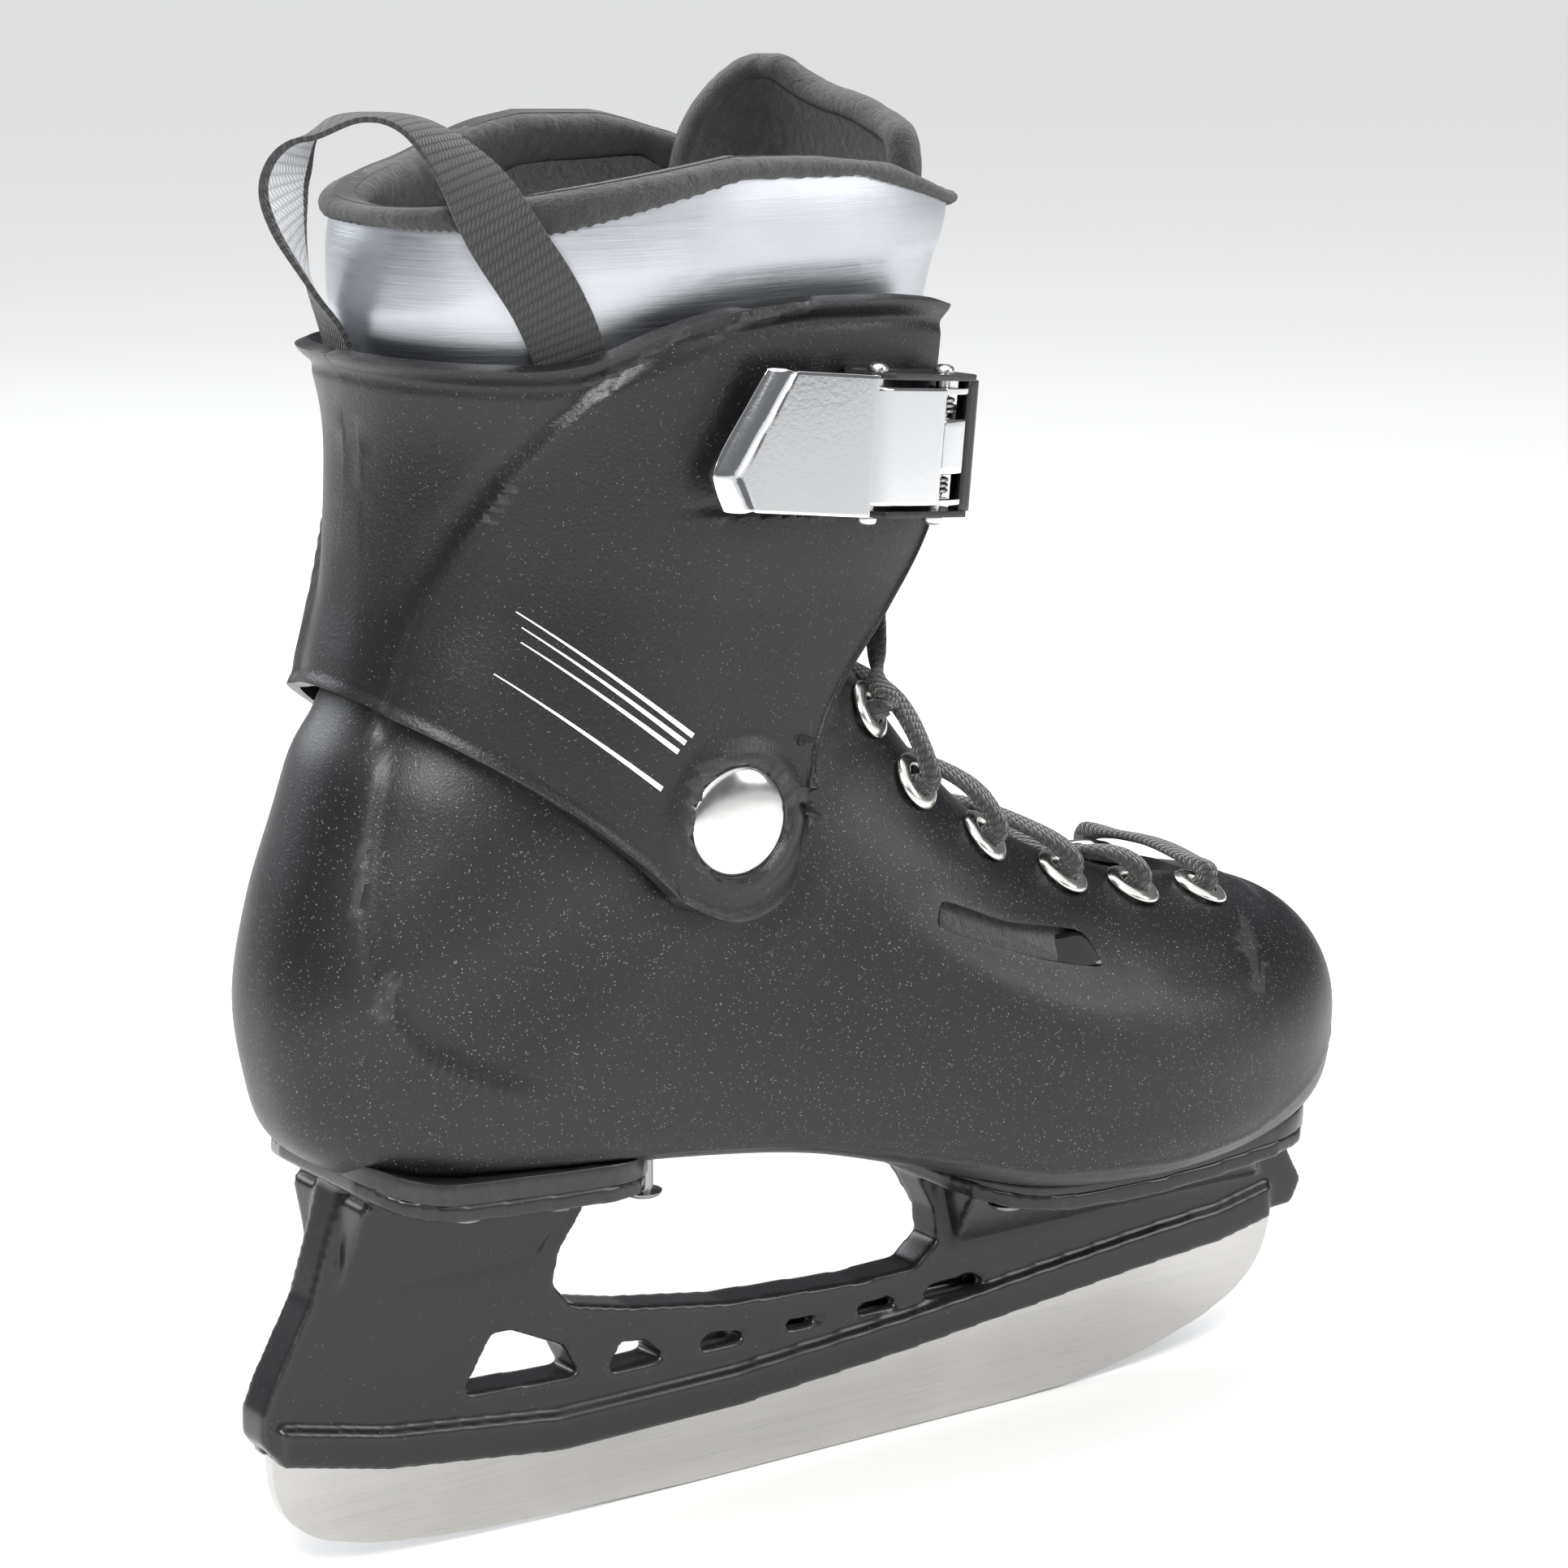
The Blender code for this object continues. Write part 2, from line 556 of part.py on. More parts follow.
HOLDER_WINDOWS = [[(-77, 38), (-69, 51), (-64, 51), (-49, 44), (-45, 36)], [(-37, 35), (-33, 41.5), (-26, 40.5), (-20, 35)],
                  [(-12, 35), (-8, 38.5), (0, 37.5), (5, 35)], [(13, 34.6), (16, 37), (24, 36.8), (28, 34.6)],
                  [(35, 34.4), (38, 36.8), (46, 37), (50, 34.4)], [(56, 34.4), (59, 37.5), (72, 38), (77, 34.4)]]
HEEL_PLATE = (-112, -36, 34)   # rear, front, half width (mm)
TOE_PLATE = (52, 163, 38)


def millimetres(points):
    return [(x * MM, z * MM) for x, z in points]


def build_runner():
    lower = millimetres(RUNNER_HEEL + [(x, 0.0) for x in RUNNER_FLAT] + RUNNER_TOE)
    upper = [(158 * MM, RUNNER_TOP + 5 * MM), (100 * MM, RUNNER_TOP + 2 * MM), (80 * MM, RUNNER_TOP),
             (-80 * MM, RUNNER_TOP), (-90 * MM, RUNNER_TOP + 5 * MM), (-120 * MM, RUNNER_TOP + 5 * MM)]
    return prism("runner", lower + upper, RUNNER_THICK / 2, RUNNER_STEEL)


def plate(name, rear, front, half, top_gap, thickness):
    """A mounting plate that follows the boot's underside, with rounded plan corners."""
    spare = 5
    stations = np.linspace(rear - spare, front + spare, 9)
    tops = [(x * MM, sole_height(x * MM, MM) - top_gap) for x in stations]
    outline = tops + [(x, z - thickness) for x, z in reversed(tops)]
    slab = prism(name, outline, (half + spare) * MM, HOLDER_PLASTIC)
    plan = []
    corner = min(half, (front - rear) / 2) * 0.5
    for cx, cy, start in ((front - corner, half - corner, 0), (rear + corner, half - corner, 90),
                          (rear + corner, corner - half, 180), (front - corner, corner - half, 270)):
        plan += [(cx + corner * math.cos(math.radians(start + a)), cy + corner * math.sin(math.radians(start + a)))
                 for a in (0, 30, 60, 90)]
    keep = prism(name + "_plan", millimetres(plan), 60 * MM, None, cutters)
    keep.matrix_world = Matrix.Translation((0, 0, 80 * MM))
    carve(slab, keep, "INTERSECT")
    return slab


def flare(name, low, high):
    """A block from a narrow rectangle (rear, front, half width, height) up to a wide one."""
    rings = []
    for rear, front, half, z_rear, z_front in (low, high):
        rings.append([(rear, -half, z_rear), (front, -half, z_front), (front, half, z_front), (rear, half, z_rear)])
    block = tube_rings(name, np.array(rings) * MM, None)
    parts.objects.unlink(block)
    cutters.objects.link(block)
    return block


def build_holder():
    meet = GAP + PLATE_THICK / 2
    heel_top, toe_top = ([(x * MM, sole_height(x * MM, MM) - meet) for x in np.linspace(*span, 5)]
                         for span in (HEEL_WEB, TOE_WEB))
    outline = millimetres(HOLDER_REAR) + heel_top + millimetres(HOLDER_ARCH) + toe_top + millimetres(HOLDER_FRONT)
    web = prism("holder", outline, WEB_HALF, HOLDER_PLASTIC)
    skirt_line = [(x * MM, z * MM) for x, z in HOLDER_SKIRT]
    skirt_top = [(x, z + 9 * MM) for x, z in reversed(skirt_line)]
    skirt = prism("holder_skirt", skirt_line + skirt_top, SKIRT_HALF, None, cutters)
    heel = plate("heel_plate", *HEEL_PLATE, GAP + 0.2 * MM, PLATE_THICK)
    toe = plate("toe_plate", *TOE_PLATE, GAP + 0.2 * MM, PLATE_THICK)
    for piece in (heel, toe):
        parts.objects.unlink(piece)
        cutters.objects.link(piece)
    heel_flare = flare("heel_flare", (-111, -58, 5, 66, 66), (-109, -46, 17, 92, 90))
    toe_flare = flare("toe_flare", (66, 166, 5, 46, 46), (62, 158, 18.5, 63.6, 65.6))
    for piece in (skirt, heel_flare, toe_flare, heel, toe):
        carve(web, piece, "UNION")
    slot = [(x, z - 3 * MM) for x, z in skirt_line]
    slot += [(175 * MM, RUNNER_TOE_TOP), (159 * MM, RUNNER_TOP + 6 * MM), (80 * MM, RUNNER_TOP + 2 * MM + GAP),
             (-80 * MM, RUNNER_TOP + GAP), (-90 * MM, RUNNER_TOP + 5.5 * MM), (-124 * MM, RUNNER_TOP + 5.5 * MM),
             (-128 * MM, 33 * MM)]
    carve(web, prism("runner_slot", slot, RUNNER_THICK / 2 + SLOT_CLEARANCE, None, cutters))
    for k, window in enumerate(HOLDER_WINDOWS):
        carve(web, prism(f"holder_window_{k}", millimetres(window), 20 * MM, None, cutters))
    for x, y in rivet_spots():
        carve(web, cylinder_cutter(f"rivet_hole_holder_{x:.3f}_{y:.3f}", (x, y, sole_height(x, y) - 4 * MM),
                                   (0, 0, 1), RIVET_SHANK_R + GAP, 14 * MM, 8))
    return web


def build_rivets():
    for base, xs in (("heel_rivet", HEEL_RIVET_X), ("toe_rivet", TOE_RIVET_X)):
        spots = [(x * MM, side * RIVET_Y) for side in (-1, 1) for x in xs]
        for k, (x, y) in enumerate(spots):
            inside = max(sole_height(x + d, abs(y) + INNER_HEAD_R) for d in (-INNER_HEAD_R, 0, INNER_HEAD_R))
            inside += SHELL_WALL * 1.4 + 0.05 * MM
            under = sole_height(x, MM) - GAP - 0.2 * MM - PLATE_THICK - 0.7 * MM
            r, head = RIVET_SHANK_R, RIVET_HEAD_R
            profile = [(0, inside + 0.8 * MM), (INNER_HEAD_R * 0.9, inside + 0.8 * MM), (INNER_HEAD_R, inside), (r, inside),
                       (r, under), (head, under - 0.3 * MM), (head * 0.7, under - 1.5 * MM), (0, under - 1.8 * MM)]
            rivet = turned(f"{base}_{k + 1}", profile, NICKEL, Matrix.Translation((x, y, 0)), 8)
            shade(rivet)


# ---------------------------------------------------------------- inside of the boot
def build_footbed():
    xs = np.array([-104, -98, -86, -60, -25, 10, 36, 51, 66, 80, 110, 135, 150, 156])
    halves = np.array([8, 15, 20, 24, 26, 25, 23, 22, 22, 26, 34, 30, 19, 8])
    grid = np.array([[(x * MM, half * s * MM, sole_height(x * MM, half * s * MM) + FOOTBED_TOP)
                      for s in (-1, -0.5, 0, 0.5, 1)] for x, half in zip(xs, halves)])
    return open_surface("footbed", grid, BOARD, FOOTBED_WALL)


def liner_depth(normal):
    return LINER_DEPTH + (LINER_SOLE_DEPTH - LINER_DEPTH) * np.clip(-normal[..., 2], 0, 1) ** 2


def build_liner():
    closed_t = [0.5, 1, 1.8, 2.8, 3.5]
    open_t = [4, 4.5, 5.2, 6, 7, 8, 9, 10, 11, 12, 13, 14, 15.5, 17, 18.2, 19.3, 20.2, 20.7, 21.3, 22, 23, 24, 25]
    shares = np.linspace(0, 1, LINER_COLUMNS)
    rows = []
    for t in closed_t + open_t:
        edge = liner_edge(t) if t >= 4 else 0.0
        angles = edge + (2 * math.pi - 2 * edge) * shares
        ts = np.full(LINER_COLUMNS, float(t))
        _, normal = sunk(sock_face, ts, angles, np.zeros(LINER_COLUMNS))
        point, _ = sunk(sock_face, ts, angles, liner_depth(normal))
        rows.append(point)
    nose = rows[0].mean(0) + np.array([1.5 * MM, 0, 0])
    rows.insert(0, np.tile(nose, (LINER_COLUMNS, 1)))
    return open_surface("liner", np.array(rows), FLEECE, LINER_WALL, 60)


LINER_COLUMNS = 21
LINER_EDGE = [(4, 14), (4.5, 28), (5, 33), (6, 37), (10, 37), (12, 30), (14, 24), (17, 22), (25, 22)]   # station, half (mm)
TONGUE_HALF = [(3.7, 22), (4.4, 35), (6, 42), (9.6, 42), (11, 37), (14, 33), (19, 35), (22, 38), (25, 38), (27, 30)]
TONGUE_TUCK = [(11, 0), (15, 4), (17, 5.5), (19, 8), (21, 8.5), (22, 0)]      # station, extra depth behind the ankle's fold (mm)


def edge_angle(t, table, reach):
    """The section angle where the sock is the table's half width from the middle."""
    half = np.interp(t, [k for k, _ in table], [w for _, w in table]) * MM
    angles = np.linspace(0.02, reach, 200)
    across = -section_point(np.vstack([BOOT, LEG]), np.full(200, float(t)), angles)[:, 1]
    return float(np.interp(half, across, angles))


def liner_edge(t):
    return edge_angle(t, LINER_EDGE, 1.4)


def build_tongue():
    ts = [3.7, 4.5, 5.2, 6, 7, 8, 9, 10, 11, 12, 13, 14, 15.5, 17, 18.2, 19.3, 20.2, 20.7, 21.3, 22, 23, 24, 25, 26, 26.8]
    shares = np.linspace(-1, 1, 11)
    rows = []
    for t in ts:
        depth = LINER_DEPTH + LINER_WALL + TONGUE_GAP + np.interp(t, *zip(*TONGUE_TUCK)) * MM
        edge = edge_angle(t, TONGUE_HALF, 1.5)
        point, _ = sunk(sock_face, np.full(11, float(t)), edge * shares, np.full(11, depth))
        rows.append(point)
    return open_surface("tongue", np.array(rows), FLEECE, TONGUE_WALL, 60)


def build_vent_panels():
    for side, name in ((-1, "outer"), (1, "inner")):
        corners = [find_on(boot_face, (x * MM, z * MM), (4, 12), (0.5, 1.6), (0, 2)) for x, z in ((30, 145), (82, 130))]
        ts = np.linspace(corners[1][0] - 0.25, corners[0][0] + 0.25, 5)
        angles = np.linspace(0.72, 1.38, 5)
        grid = np.array([sunk(boot_face, np.full(5, t), angles, np.full(5, SHELL_WALL + 0.9 * MM))[0] for t in ts])
        grid[..., 1] *= -side
        open_surface(f"vent_panel_{name}", grid, KNIT, 1.0 * MM, flip=side < 0)


def build_eyelets():
    for side, name in ((-1, "outer"), (1, "inner")):
        for k in range(len(EYELETS)):
            position, normal = eyelet_place(k, side)
            r, sleeve, bore = EYELET_R, EYELET_HOLE_R - GAP, EYELET_BORE_R
            lift = EYELET_LIFT
            profile = [(bore, lift + 1.2 * MM), (r * 0.75, lift + 1.3 * MM), (r, lift + 0.3 * MM), (r, lift),
                       (sleeve, lift), (sleeve, -SHELL_WALL - 0.6 * MM), (bore, -SHELL_WALL - 0.6 * MM),
                       (bore, lift + 1.2 * MM)]
            eyelet = turned(f"eyelet_{name}_{k + 1}", profile, NICKEL, facing(position, normal), 10)
            shade(eyelet)


# ---------------------------------------------------------------- cuff hinge
def build_pivots():
    cuff_side = float(cuff_face(PIVOT.x, PIVOT.z))
    for side, name in ((-1, "outer"), (1, "inner")):
        face = facing(PIVOT, (0, side, 0))
        shell_face = shell_half_at_pivot()
        inner = shell_face - SHELL_WALL - 1.0 * MM
        outer = cuff_side - 0.2 * MM
        nut = [(PIVOT_SLEEVE_R, outer), (PIVOT_SLEEVE_R, inner), (8 * MM, inner), (8 * MM, inner - 0.8 * MM),
               (3.3 * MM, inner - 0.8 * MM), (3.3 * MM, outer), (PIVOT_SLEEVE_R, outer)]
        shade(turned(f"pivot_nut_{name}", nut, DARK_STEEL, face))
        base = cuff_side + 0.35 * MM
        dome = [(PIVOT_CAP_R * math.sin(a), base + 1.2 * MM + 2.4 * MM * math.cos(a))
                for a in (0, 0.35, 0.7, 1.05, 1.35)]
        bolt = dome + [(PIVOT_CAP_R, base + 1.2 * MM), (PIVOT_CAP_R, base), (3 * MM, base), (3 * MM, inner), (0, inner)]
        shade(turned(f"pivot_bolt_{name}", bolt, CHROME, face, 18))


def shell_half_at_pivot():
    t, angle = find_on(boot_face, (PIVOT.x, PIVOT.z), (11, 16), (0.9, 1.9), (0, 2))
    return float(-boot_face(t, angle)[1])


# ---------------------------------------------------------------- buckle
BUCKLE_Z = 259 * MM            # height of the buckle's middle at its pin
BUCKLE_SLOPE = 0.12            # how far it drops towards the front
BUCKLE_PIN_X = 19.5 * MM
LEVER_LENGTH = 60 * MM
LEVER_HALF = 13.5 * MM
EAR_T = 1.4 * MM
PIN_R = 1.6 * MM
LEVER_LIFT = 8.5 * MM          # lever pin above the cuff
LEVER_T = 2.4 * MM
LEVER_BOSS_R = 3.2 * MM
PAWL_LIFT = 7.4 * MM
PAWL_BACK = 22 * MM            # pawl pin behind the lever pin
PAWL_BOSS_R = 2.2 * MM
PAWL_HALF = 6 * MM
LADDER_LIFT = 3.9 * MM         # middle of the ladder strap above the cuff, in the buckle
LADDER_HALF = 7 * MM
LADDER_T = 1.5 * MM
TOOTH = 0.4 * MM
SPRING_WIRE_R = 0.4 * MM
SPRING_R = 2.6 * MM
SPRING_MIDDLE = 9 * MM         # height of the springs above and below the lever's middle
SPRING_ROOM = 5.6 * MM         # notch in the lever round each spring


def buckle_frame():
    """The buckle's placement: local X forwards along the cuff, Y inwards, Z up the pins."""
    x, z = BUCKLE_PIN_X, BUCKLE_Z
    ahead, behind = x + 9 * MM, x - 14 * MM
    forward = Vector((ahead - behind, float(-cuff_face(ahead, z) + cuff_face(behind, z)),
                      -BUCKLE_SLOPE * (ahead - behind))).normalized()
    up = Vector((0, 0, 1))
    inward = up.cross(forward).normalized()
    up = forward.cross(inward)
    matrix = Matrix((forward, inward, up)).transposed().to_4x4()
    matrix.translation = Vector((x, float(-cuff_face(x, z)), z))
    proud = max(-cuff_line_in_frame(matrix, t, u) for t in np.linspace(-26, 12, 12) * MM
                for u in (-LEVER_HALF - 3 * MM, 0.0, LEVER_HALF + 3 * MM))
    matrix.translation += matrix.to_3x3() @ Vector((0, -proud, 0))
    return matrix


def cuff_line_in_frame(frame, t, u=0.0):
    """How far inwards the cuff's face lies at t along the buckle and u up its pins."""
    back = frame.inverted()
    reach = 0.0
    for _ in range(12):
        p = frame @ Vector((t, reach, u))
        face = float(-cuff_face(p.x, p.z))
        q = back @ Vector((p.x, face, p.z))
        reach += (q.y - reach) * 0.7
    return reach


def placed(item, frame, offset=Vector((0, 0, 0))):
    """Moves a prism made about the frame's own axes into place, with its origin at offset."""
    mesh = item.data
    mesh.transform(item.matrix_world)
    mesh.transform(Matrix.Translation(-offset))
    item.matrix_world = frame @ Matrix.Translation(offset)
    return item


def flat_prism(name, outline, half, material, collection=parts, middle=0.0):
    """A prism of (along, outwards) points, extruded up and down the pins."""
    item = prism(name, outline, half, material, collection, 0.0)
    turn = Matrix(((1, 0, 0, 0), (0, 0, -1, 0), (0, 1, 0, middle), (0, 0, 0, 1)))
    item.data.transform(turn @ item.matrix_world)
    item.matrix_world = Matrix.Identity(4)
    return item


def build_buckle():
    frame = buckle_frame()
    base = flat_prism("buckle_base", millimetres([(-25, 0.4), (11, 0.4), (11, 1.6), (-25, 1.6)]), LEVER_HALF + 2.9 * MM,
                      BLACK_NYLON)
    ear = millimetres([(-24.7, 0.9), (10.7, 0.9), (10.7, 9), (7, 12.5), (-21, 12.2), (-24.7, 8)])
    for side in (-1, 1):
        piece = flat_prism(f"ear_{side}", ear, EAR_T / 2, None, cutters, side * (LEVER_HALF + 1.9 * MM))
        carve(base, placed(piece, frame), "UNION")
    for name, t, lift in (("lever", 0.0, LEVER_LIFT), ("pawl", -PAWL_BACK, PAWL_LIFT)):
        spot = frame @ Vector((t, -lift, 0))
        carve(base, cylinder_cutter(f"{name}_pin_hole", spot, pin_line(frame), PIN_R + 0.15 * MM, 60 * MM, 12))
        end = LEVER_HALF + 2.9 * MM
        half = [(0, end + 1.8 * MM), (1.8 * MM, end + 1.5 * MM), (2.4 * MM, end + 0.9 * MM), (2.4 * MM, end),
                (PIN_R, end)]
        profile = half + [(r, -z) for r, z in reversed(half)]
        shade(turned(f"{name}_pin", profile, DARK_STEEL, facing(spot, pin_line(frame)), 12))
    for name, t in (("front", 5 * MM), ("rear", -9 * MM)):
        spot = frame @ Vector((t, 0, 0))
        out = frame.to_3x3() @ Vector((0, -1, 0))
        depth = cuff_line_in_frame(frame, t)
        carve(base, cylinder_cutter(f"base_rivet_hole_{name}", spot, out, 1.8 * MM, 12 * MM, 12))
        carve(cuff, cylinder_cutter(f"cuff_rivet_hole_{name}", spot, out, 1.8 * MM, 24 * MM, 12))
        top, low = 1.6 * MM + 0.3 * MM, -depth - CUFF_WALL - 0.9 * MM
        profile = [(0, top + 0.9 * MM), (2.4 * MM, top + 0.7 * MM), (2.8 * MM, top), (1.5 * MM, top), (1.5 * MM, low),
                   (2.8 * MM, low), (2.8 * MM, low - 0.7 * MM), (0, low - 0.7 * MM)]
        shade(turned(f"buckle_rivet_{name}", profile, DARK_STEEL, facing(spot, out), 12))
    placed(base, frame)
    build_lever(frame)
    build_pawl(frame)
    build_springs(frame)
    return frame


def pin_line(frame):
    return frame.to_3x3() @ Vector((0, 0, 1))


def arc(centre, radius, start, end, count):
    """Points (along, outwards) of an arc, by angles in degrees."""
    return [(centre[0] + radius * math.cos(math.radians(a)), centre[1] + radius * math.sin(math.radians(a)))
            for a in np.linspace(start, end, count)]


def build_lever(frame):
    under = LEVER_LIFT + 1.4 * MM
    bend = -26 * MM
    start = -cuff_line_in_frame(frame, bend)
    stations = np.linspace(bend, -LEVER_LENGTH, 7)
    inner = []
    for k, t in enumerate(stations):
        above = (under - start) + (5 * MM - (under - start)) * k / (len(stations) - 1)
        inner.append((float(t), -cuff_line_in_frame(frame, float(t)) + above))
    outer = [(t, n + LEVER_T) for t, n in inner]
    outline = inner + [(-LEVER_LENGTH - 1.2 * MM, inner[-1][1] + LEVER_T * 0.6)] + outer[::-1]
    outline += arc((0, LEVER_LIFT), LEVER_BOSS_R + 0.1 * MM, 90, -60, 7)
    outline += arc((0, LEVER_LIFT), LEVER_BOSS_R, -80, -205, 5)
    lever = flat_prism("buckle_lever", outline, LEVER_HALF, CHROME)
    for side in (-1, 1):
        notch = flat_prism(f"spring_notch_{side}", millimetres([(-5.5, -5), (9, -5), (9, 30), (-5.5, 30)]),
                           SPRING_ROOM / 2, None, cutters, side * SPRING_MIDDLE)
        carve(lever, placed(notch, frame))
    pin = Vector((0, -LEVER_LIFT, 0))
    carve(lever, cylinder_cutter("lever_bore", frame @ pin, pin_line(frame), PIN_R + 0.15 * MM, 60 * MM, 12))
    placed(lever, frame, pin)


def build_pawl(frame):
    outline = arc((-PAWL_BACK, PAWL_LIFT), PAWL_BOSS_R, 60, 290, 9)
    outline += [(-PAWL_BACK + along_it * MM, out * MM) for along_it, out in ((5, 5.6), (7.8, 5.1), (8, 6.6))]
    pawl = flat_prism("buckle_pawl", outline, PAWL_HALF, BLACK_NYLON)
    pin = Vector((-PAWL_BACK, -PAWL_LIFT, 0))
    carve(pawl, cylinder_cutter("pawl_bore", frame @ pin, pin_line(frame), PIN_R + 0.15 * MM, 60 * MM, 12))
    placed(pawl, frame, pin)


def wire(name, points, radius, material, resolution=2):
    """A round wire through the points, as a curve with filled caps."""
    curve = bpy.data.curves.new(name, "CURVE")
    curve.dimensions = "3D"
    curve.bevel_depth = radius
    curve.bevel_resolution = resolution
    curve.use_fill_caps = True
    spline = curve.splines.new("POLY")
    spline.points.add(len(points) - 1)
    for point, place in zip(spline.points, points):
        point.co = (*place, 1)
    return link(name, curve, material)


def build_springs(frame):
    turns, per_turn, pitch = 3, 8, 1.15 * MM
    for side, name in ((-1, "lower"), (1, "upper")):
        points = []
        for k in range(turns * per_turn + 1):
            a = 2 * math.pi * k / per_turn
            z = side * SPRING_MIDDLE + pitch * (k / per_turn - turns / 2)
            points.append(frame @ Vector((SPRING_R * math.cos(a), -LEVER_LIFT + SPRING_R * math.sin(a), z)))
        wire(f"lever_spring_{name}", points, SPRING_WIRE_R, DARK_STEEL, 1)


def ribbon(name, points, across, half, thickness, material, raised=None):
    """A flat band along points; across gives its width direction at each, raised extra height on its outer side."""
    points, across = np.asarray(points), np.asarray(across)
    ahead = np.gradient(points, axis=0)
    out = np.cross(ahead, across)
    out /= np.linalg.norm(out, axis=1, keepdims=True)
    across = np.cross(out, ahead)
    across /= np.linalg.norm(across, axis=1, keepdims=True)
    raised = np.zeros(len(points)) if raised is None else np.asarray(raised)
    low, high = -thickness / 2, (thickness / 2 + raised)[:, None]
    rings = np.stack([points - across * half + out * low, points + across * half + out * low,
                      points + across * half + out * high, points - across * half + out * high], 1)
    return tube_rings(name, rings, material)


def build_ladder(frame):
    rest = LADDER_LIFT
    straight = [(t * MM, rest) for t in np.arange(-24, 11.1, 1.5)]
    back = frame.inverted()
    height = float((frame @ Vector((25 * MM, 0, 0))).z)
    bend = []
    for angle in np.linspace(math.radians(150), math.radians(242), 15):
        share = np.clip((angle - math.radians(190)) / math.radians(40), 0, 1)
        before, here, after = cuff_at(angle + np.array([-0.01, 0, 0.01]), np.full(3, height))
        way = after - before
        normal = np.array([way[1], -way[0], 0]) / np.linalg.norm(way[:2])
        q = back @ Vector(here + normal * (rest + (LADDER_T / 2 + 0.8 * MM - rest) * share))
        bend.append((q.x, -q.y))
    bend = [q for q in bend if q[0] > 15 * MM]
    path = straight + bend
    points = [frame @ Vector((t, -n, 0)) for t, n in path]
    points = np.array(points)
    across = np.tile(np.array(pin_line(frame)), (len(points), 1))
    raised = [TOOTH if k % 2 and k < len(straight) else 0.0 for k in range(len(points))]
    strap = ribbon("ladder_strap", points, across, LADDER_HALF, LADDER_T, BLACK_NYLON, raised)
    last = Vector(points[-2])
    out = Vector(np.cross(points[-1] - points[-3], across[-1])).normalized()
    carve(strap, cylinder_cutter("ladder_rivet_hole", last, out, 1.9 * MM, 16 * MM, 12))
    carve(cuff, cylinder_cutter("ladder_rivet_hole_cuff", last, out, 1.9 * MM, 30 * MM, 12))
    outside = LADDER_T / 2 + GAP
    inside = -LADDER_T / 2 - 0.8 * MM - CUFF_WALL - 1.4 * MM
    profile = [(0, outside + 1.1 * MM), (3 * MM, outside + 0.9 * MM), (3.6 * MM, outside), (1.6 * MM, outside),
               (1.6 * MM, inside), (3 * MM, inside), (3 * MM, inside - 0.7 * MM), (0, inside - 0.7 * MM)]
    shade(turned("ladder_rivet", profile, DARK_STEEL, facing(last, out), 12))


# ---------------------------------------------------------------- pull loop and lace
# middle of the webbing, heel to outer side, and the direction of its width (mm; unit)
LOOP_PATH = [(-94.6, 8, 275), (-96.0, 8, 281), (-99.2, 7, 289), (-105.5, 5, 300), (-110.5, 4, 313), (-112, 2, 323),
             (-107, -2, 331.5), (-98, -10, 335), (-91, -19, 333), (-86, -30, 324), (-82, -38.5, 311),
             (-74, -42, 297), (-67, -40.4, 284), (-65, -39.7, 273)]
LOOP_ACROSS = [(0.14, 0.99, 0), (0.14, 0.99, 0), (0.2, 0.97, 0), (0.5, 0.85, 0), (0.8, 0.5, 0), (0.9, 0.3, 0.1),
               (0.8, 0.4, 0.3), (0.75, 0.6, 0), (0.8, 0.5, 0), (0.9, 0.1, 0.1), (0.88, -0.42, 0.2),
               (0.93, -0.35, 0.1), (0.95, -0.3, 0), (0.95, -0.3, 0)]


def build_pull_loop():
    points = smooth_line(np.array(LOOP_PATH) * MM, 34)
    across = smooth_line(LOOP_ACROSS, 34)
    ribbon("pull_loop", points, across, WEBBING_W / 2, WEBBING_T, WEBBING)


OVER, UNDER = 4.4 * MM, -6.0 * MM      # lace above and below the boot's outer face
CROSSING = (-0.4 * MM, -5.0 * MM)      # the two strands where they cross
EDGE_IN = 10 * MM              # from an eyelet to where the lace turns over the throat's edge
LACE_TOP = [(28.5, 23.5, 200), (31, 19, 213), (35, 14, 227), (37, 10, 240)]   # from the top eyelet up under the cuff (mm)


def lace_strand(first_side, crossing):
    """One half of the lace, from the lowest eyelet up: each span leaves an eyelet, goes over the throat's edge,
    across, under the other edge and out through the next eyelet."""
    spots = [(x * MM, y * MM) for x, y in EYELETS[::-1]]
    side, points = first_side, []
    for k, (x, y) in enumerate(spots):
        spot, normal = eyelet_place(len(EYELETS) - 1 - k, side)
        through = [spot + normal * d for d in (UNDER, -2 * MM, OVER + 0.5 * MM)]
        points += through[::-1] if k == 0 else through
        if k == len(spots) - 1:
            break
        x_next, y_next = spots[k + 1]
        if k == 0:
            points.append(on_boot(x + (x_next - x) * 0.3, side * (y - EDGE_IN), UNDER)[0])
        else:
            points.append(on_boot(x + (x_next - x) * 0.2, side * ((y + y_next) / 2 - EDGE_IN + 1 * MM), OVER)[0])
        points.append(on_boot(x + (x_next - x) * 0.5, side * 0.1 * MM, crossing if k else UNDER + crossing / 3)[0])
        points.append(on_boot(x + (x_next - x) * 0.75, -side * (y_next - EDGE_IN), UNDER)[0])
        side = -side
    return points + [Vector((x, side * y, z)) * MM for x, y, z in LACE_TOP]


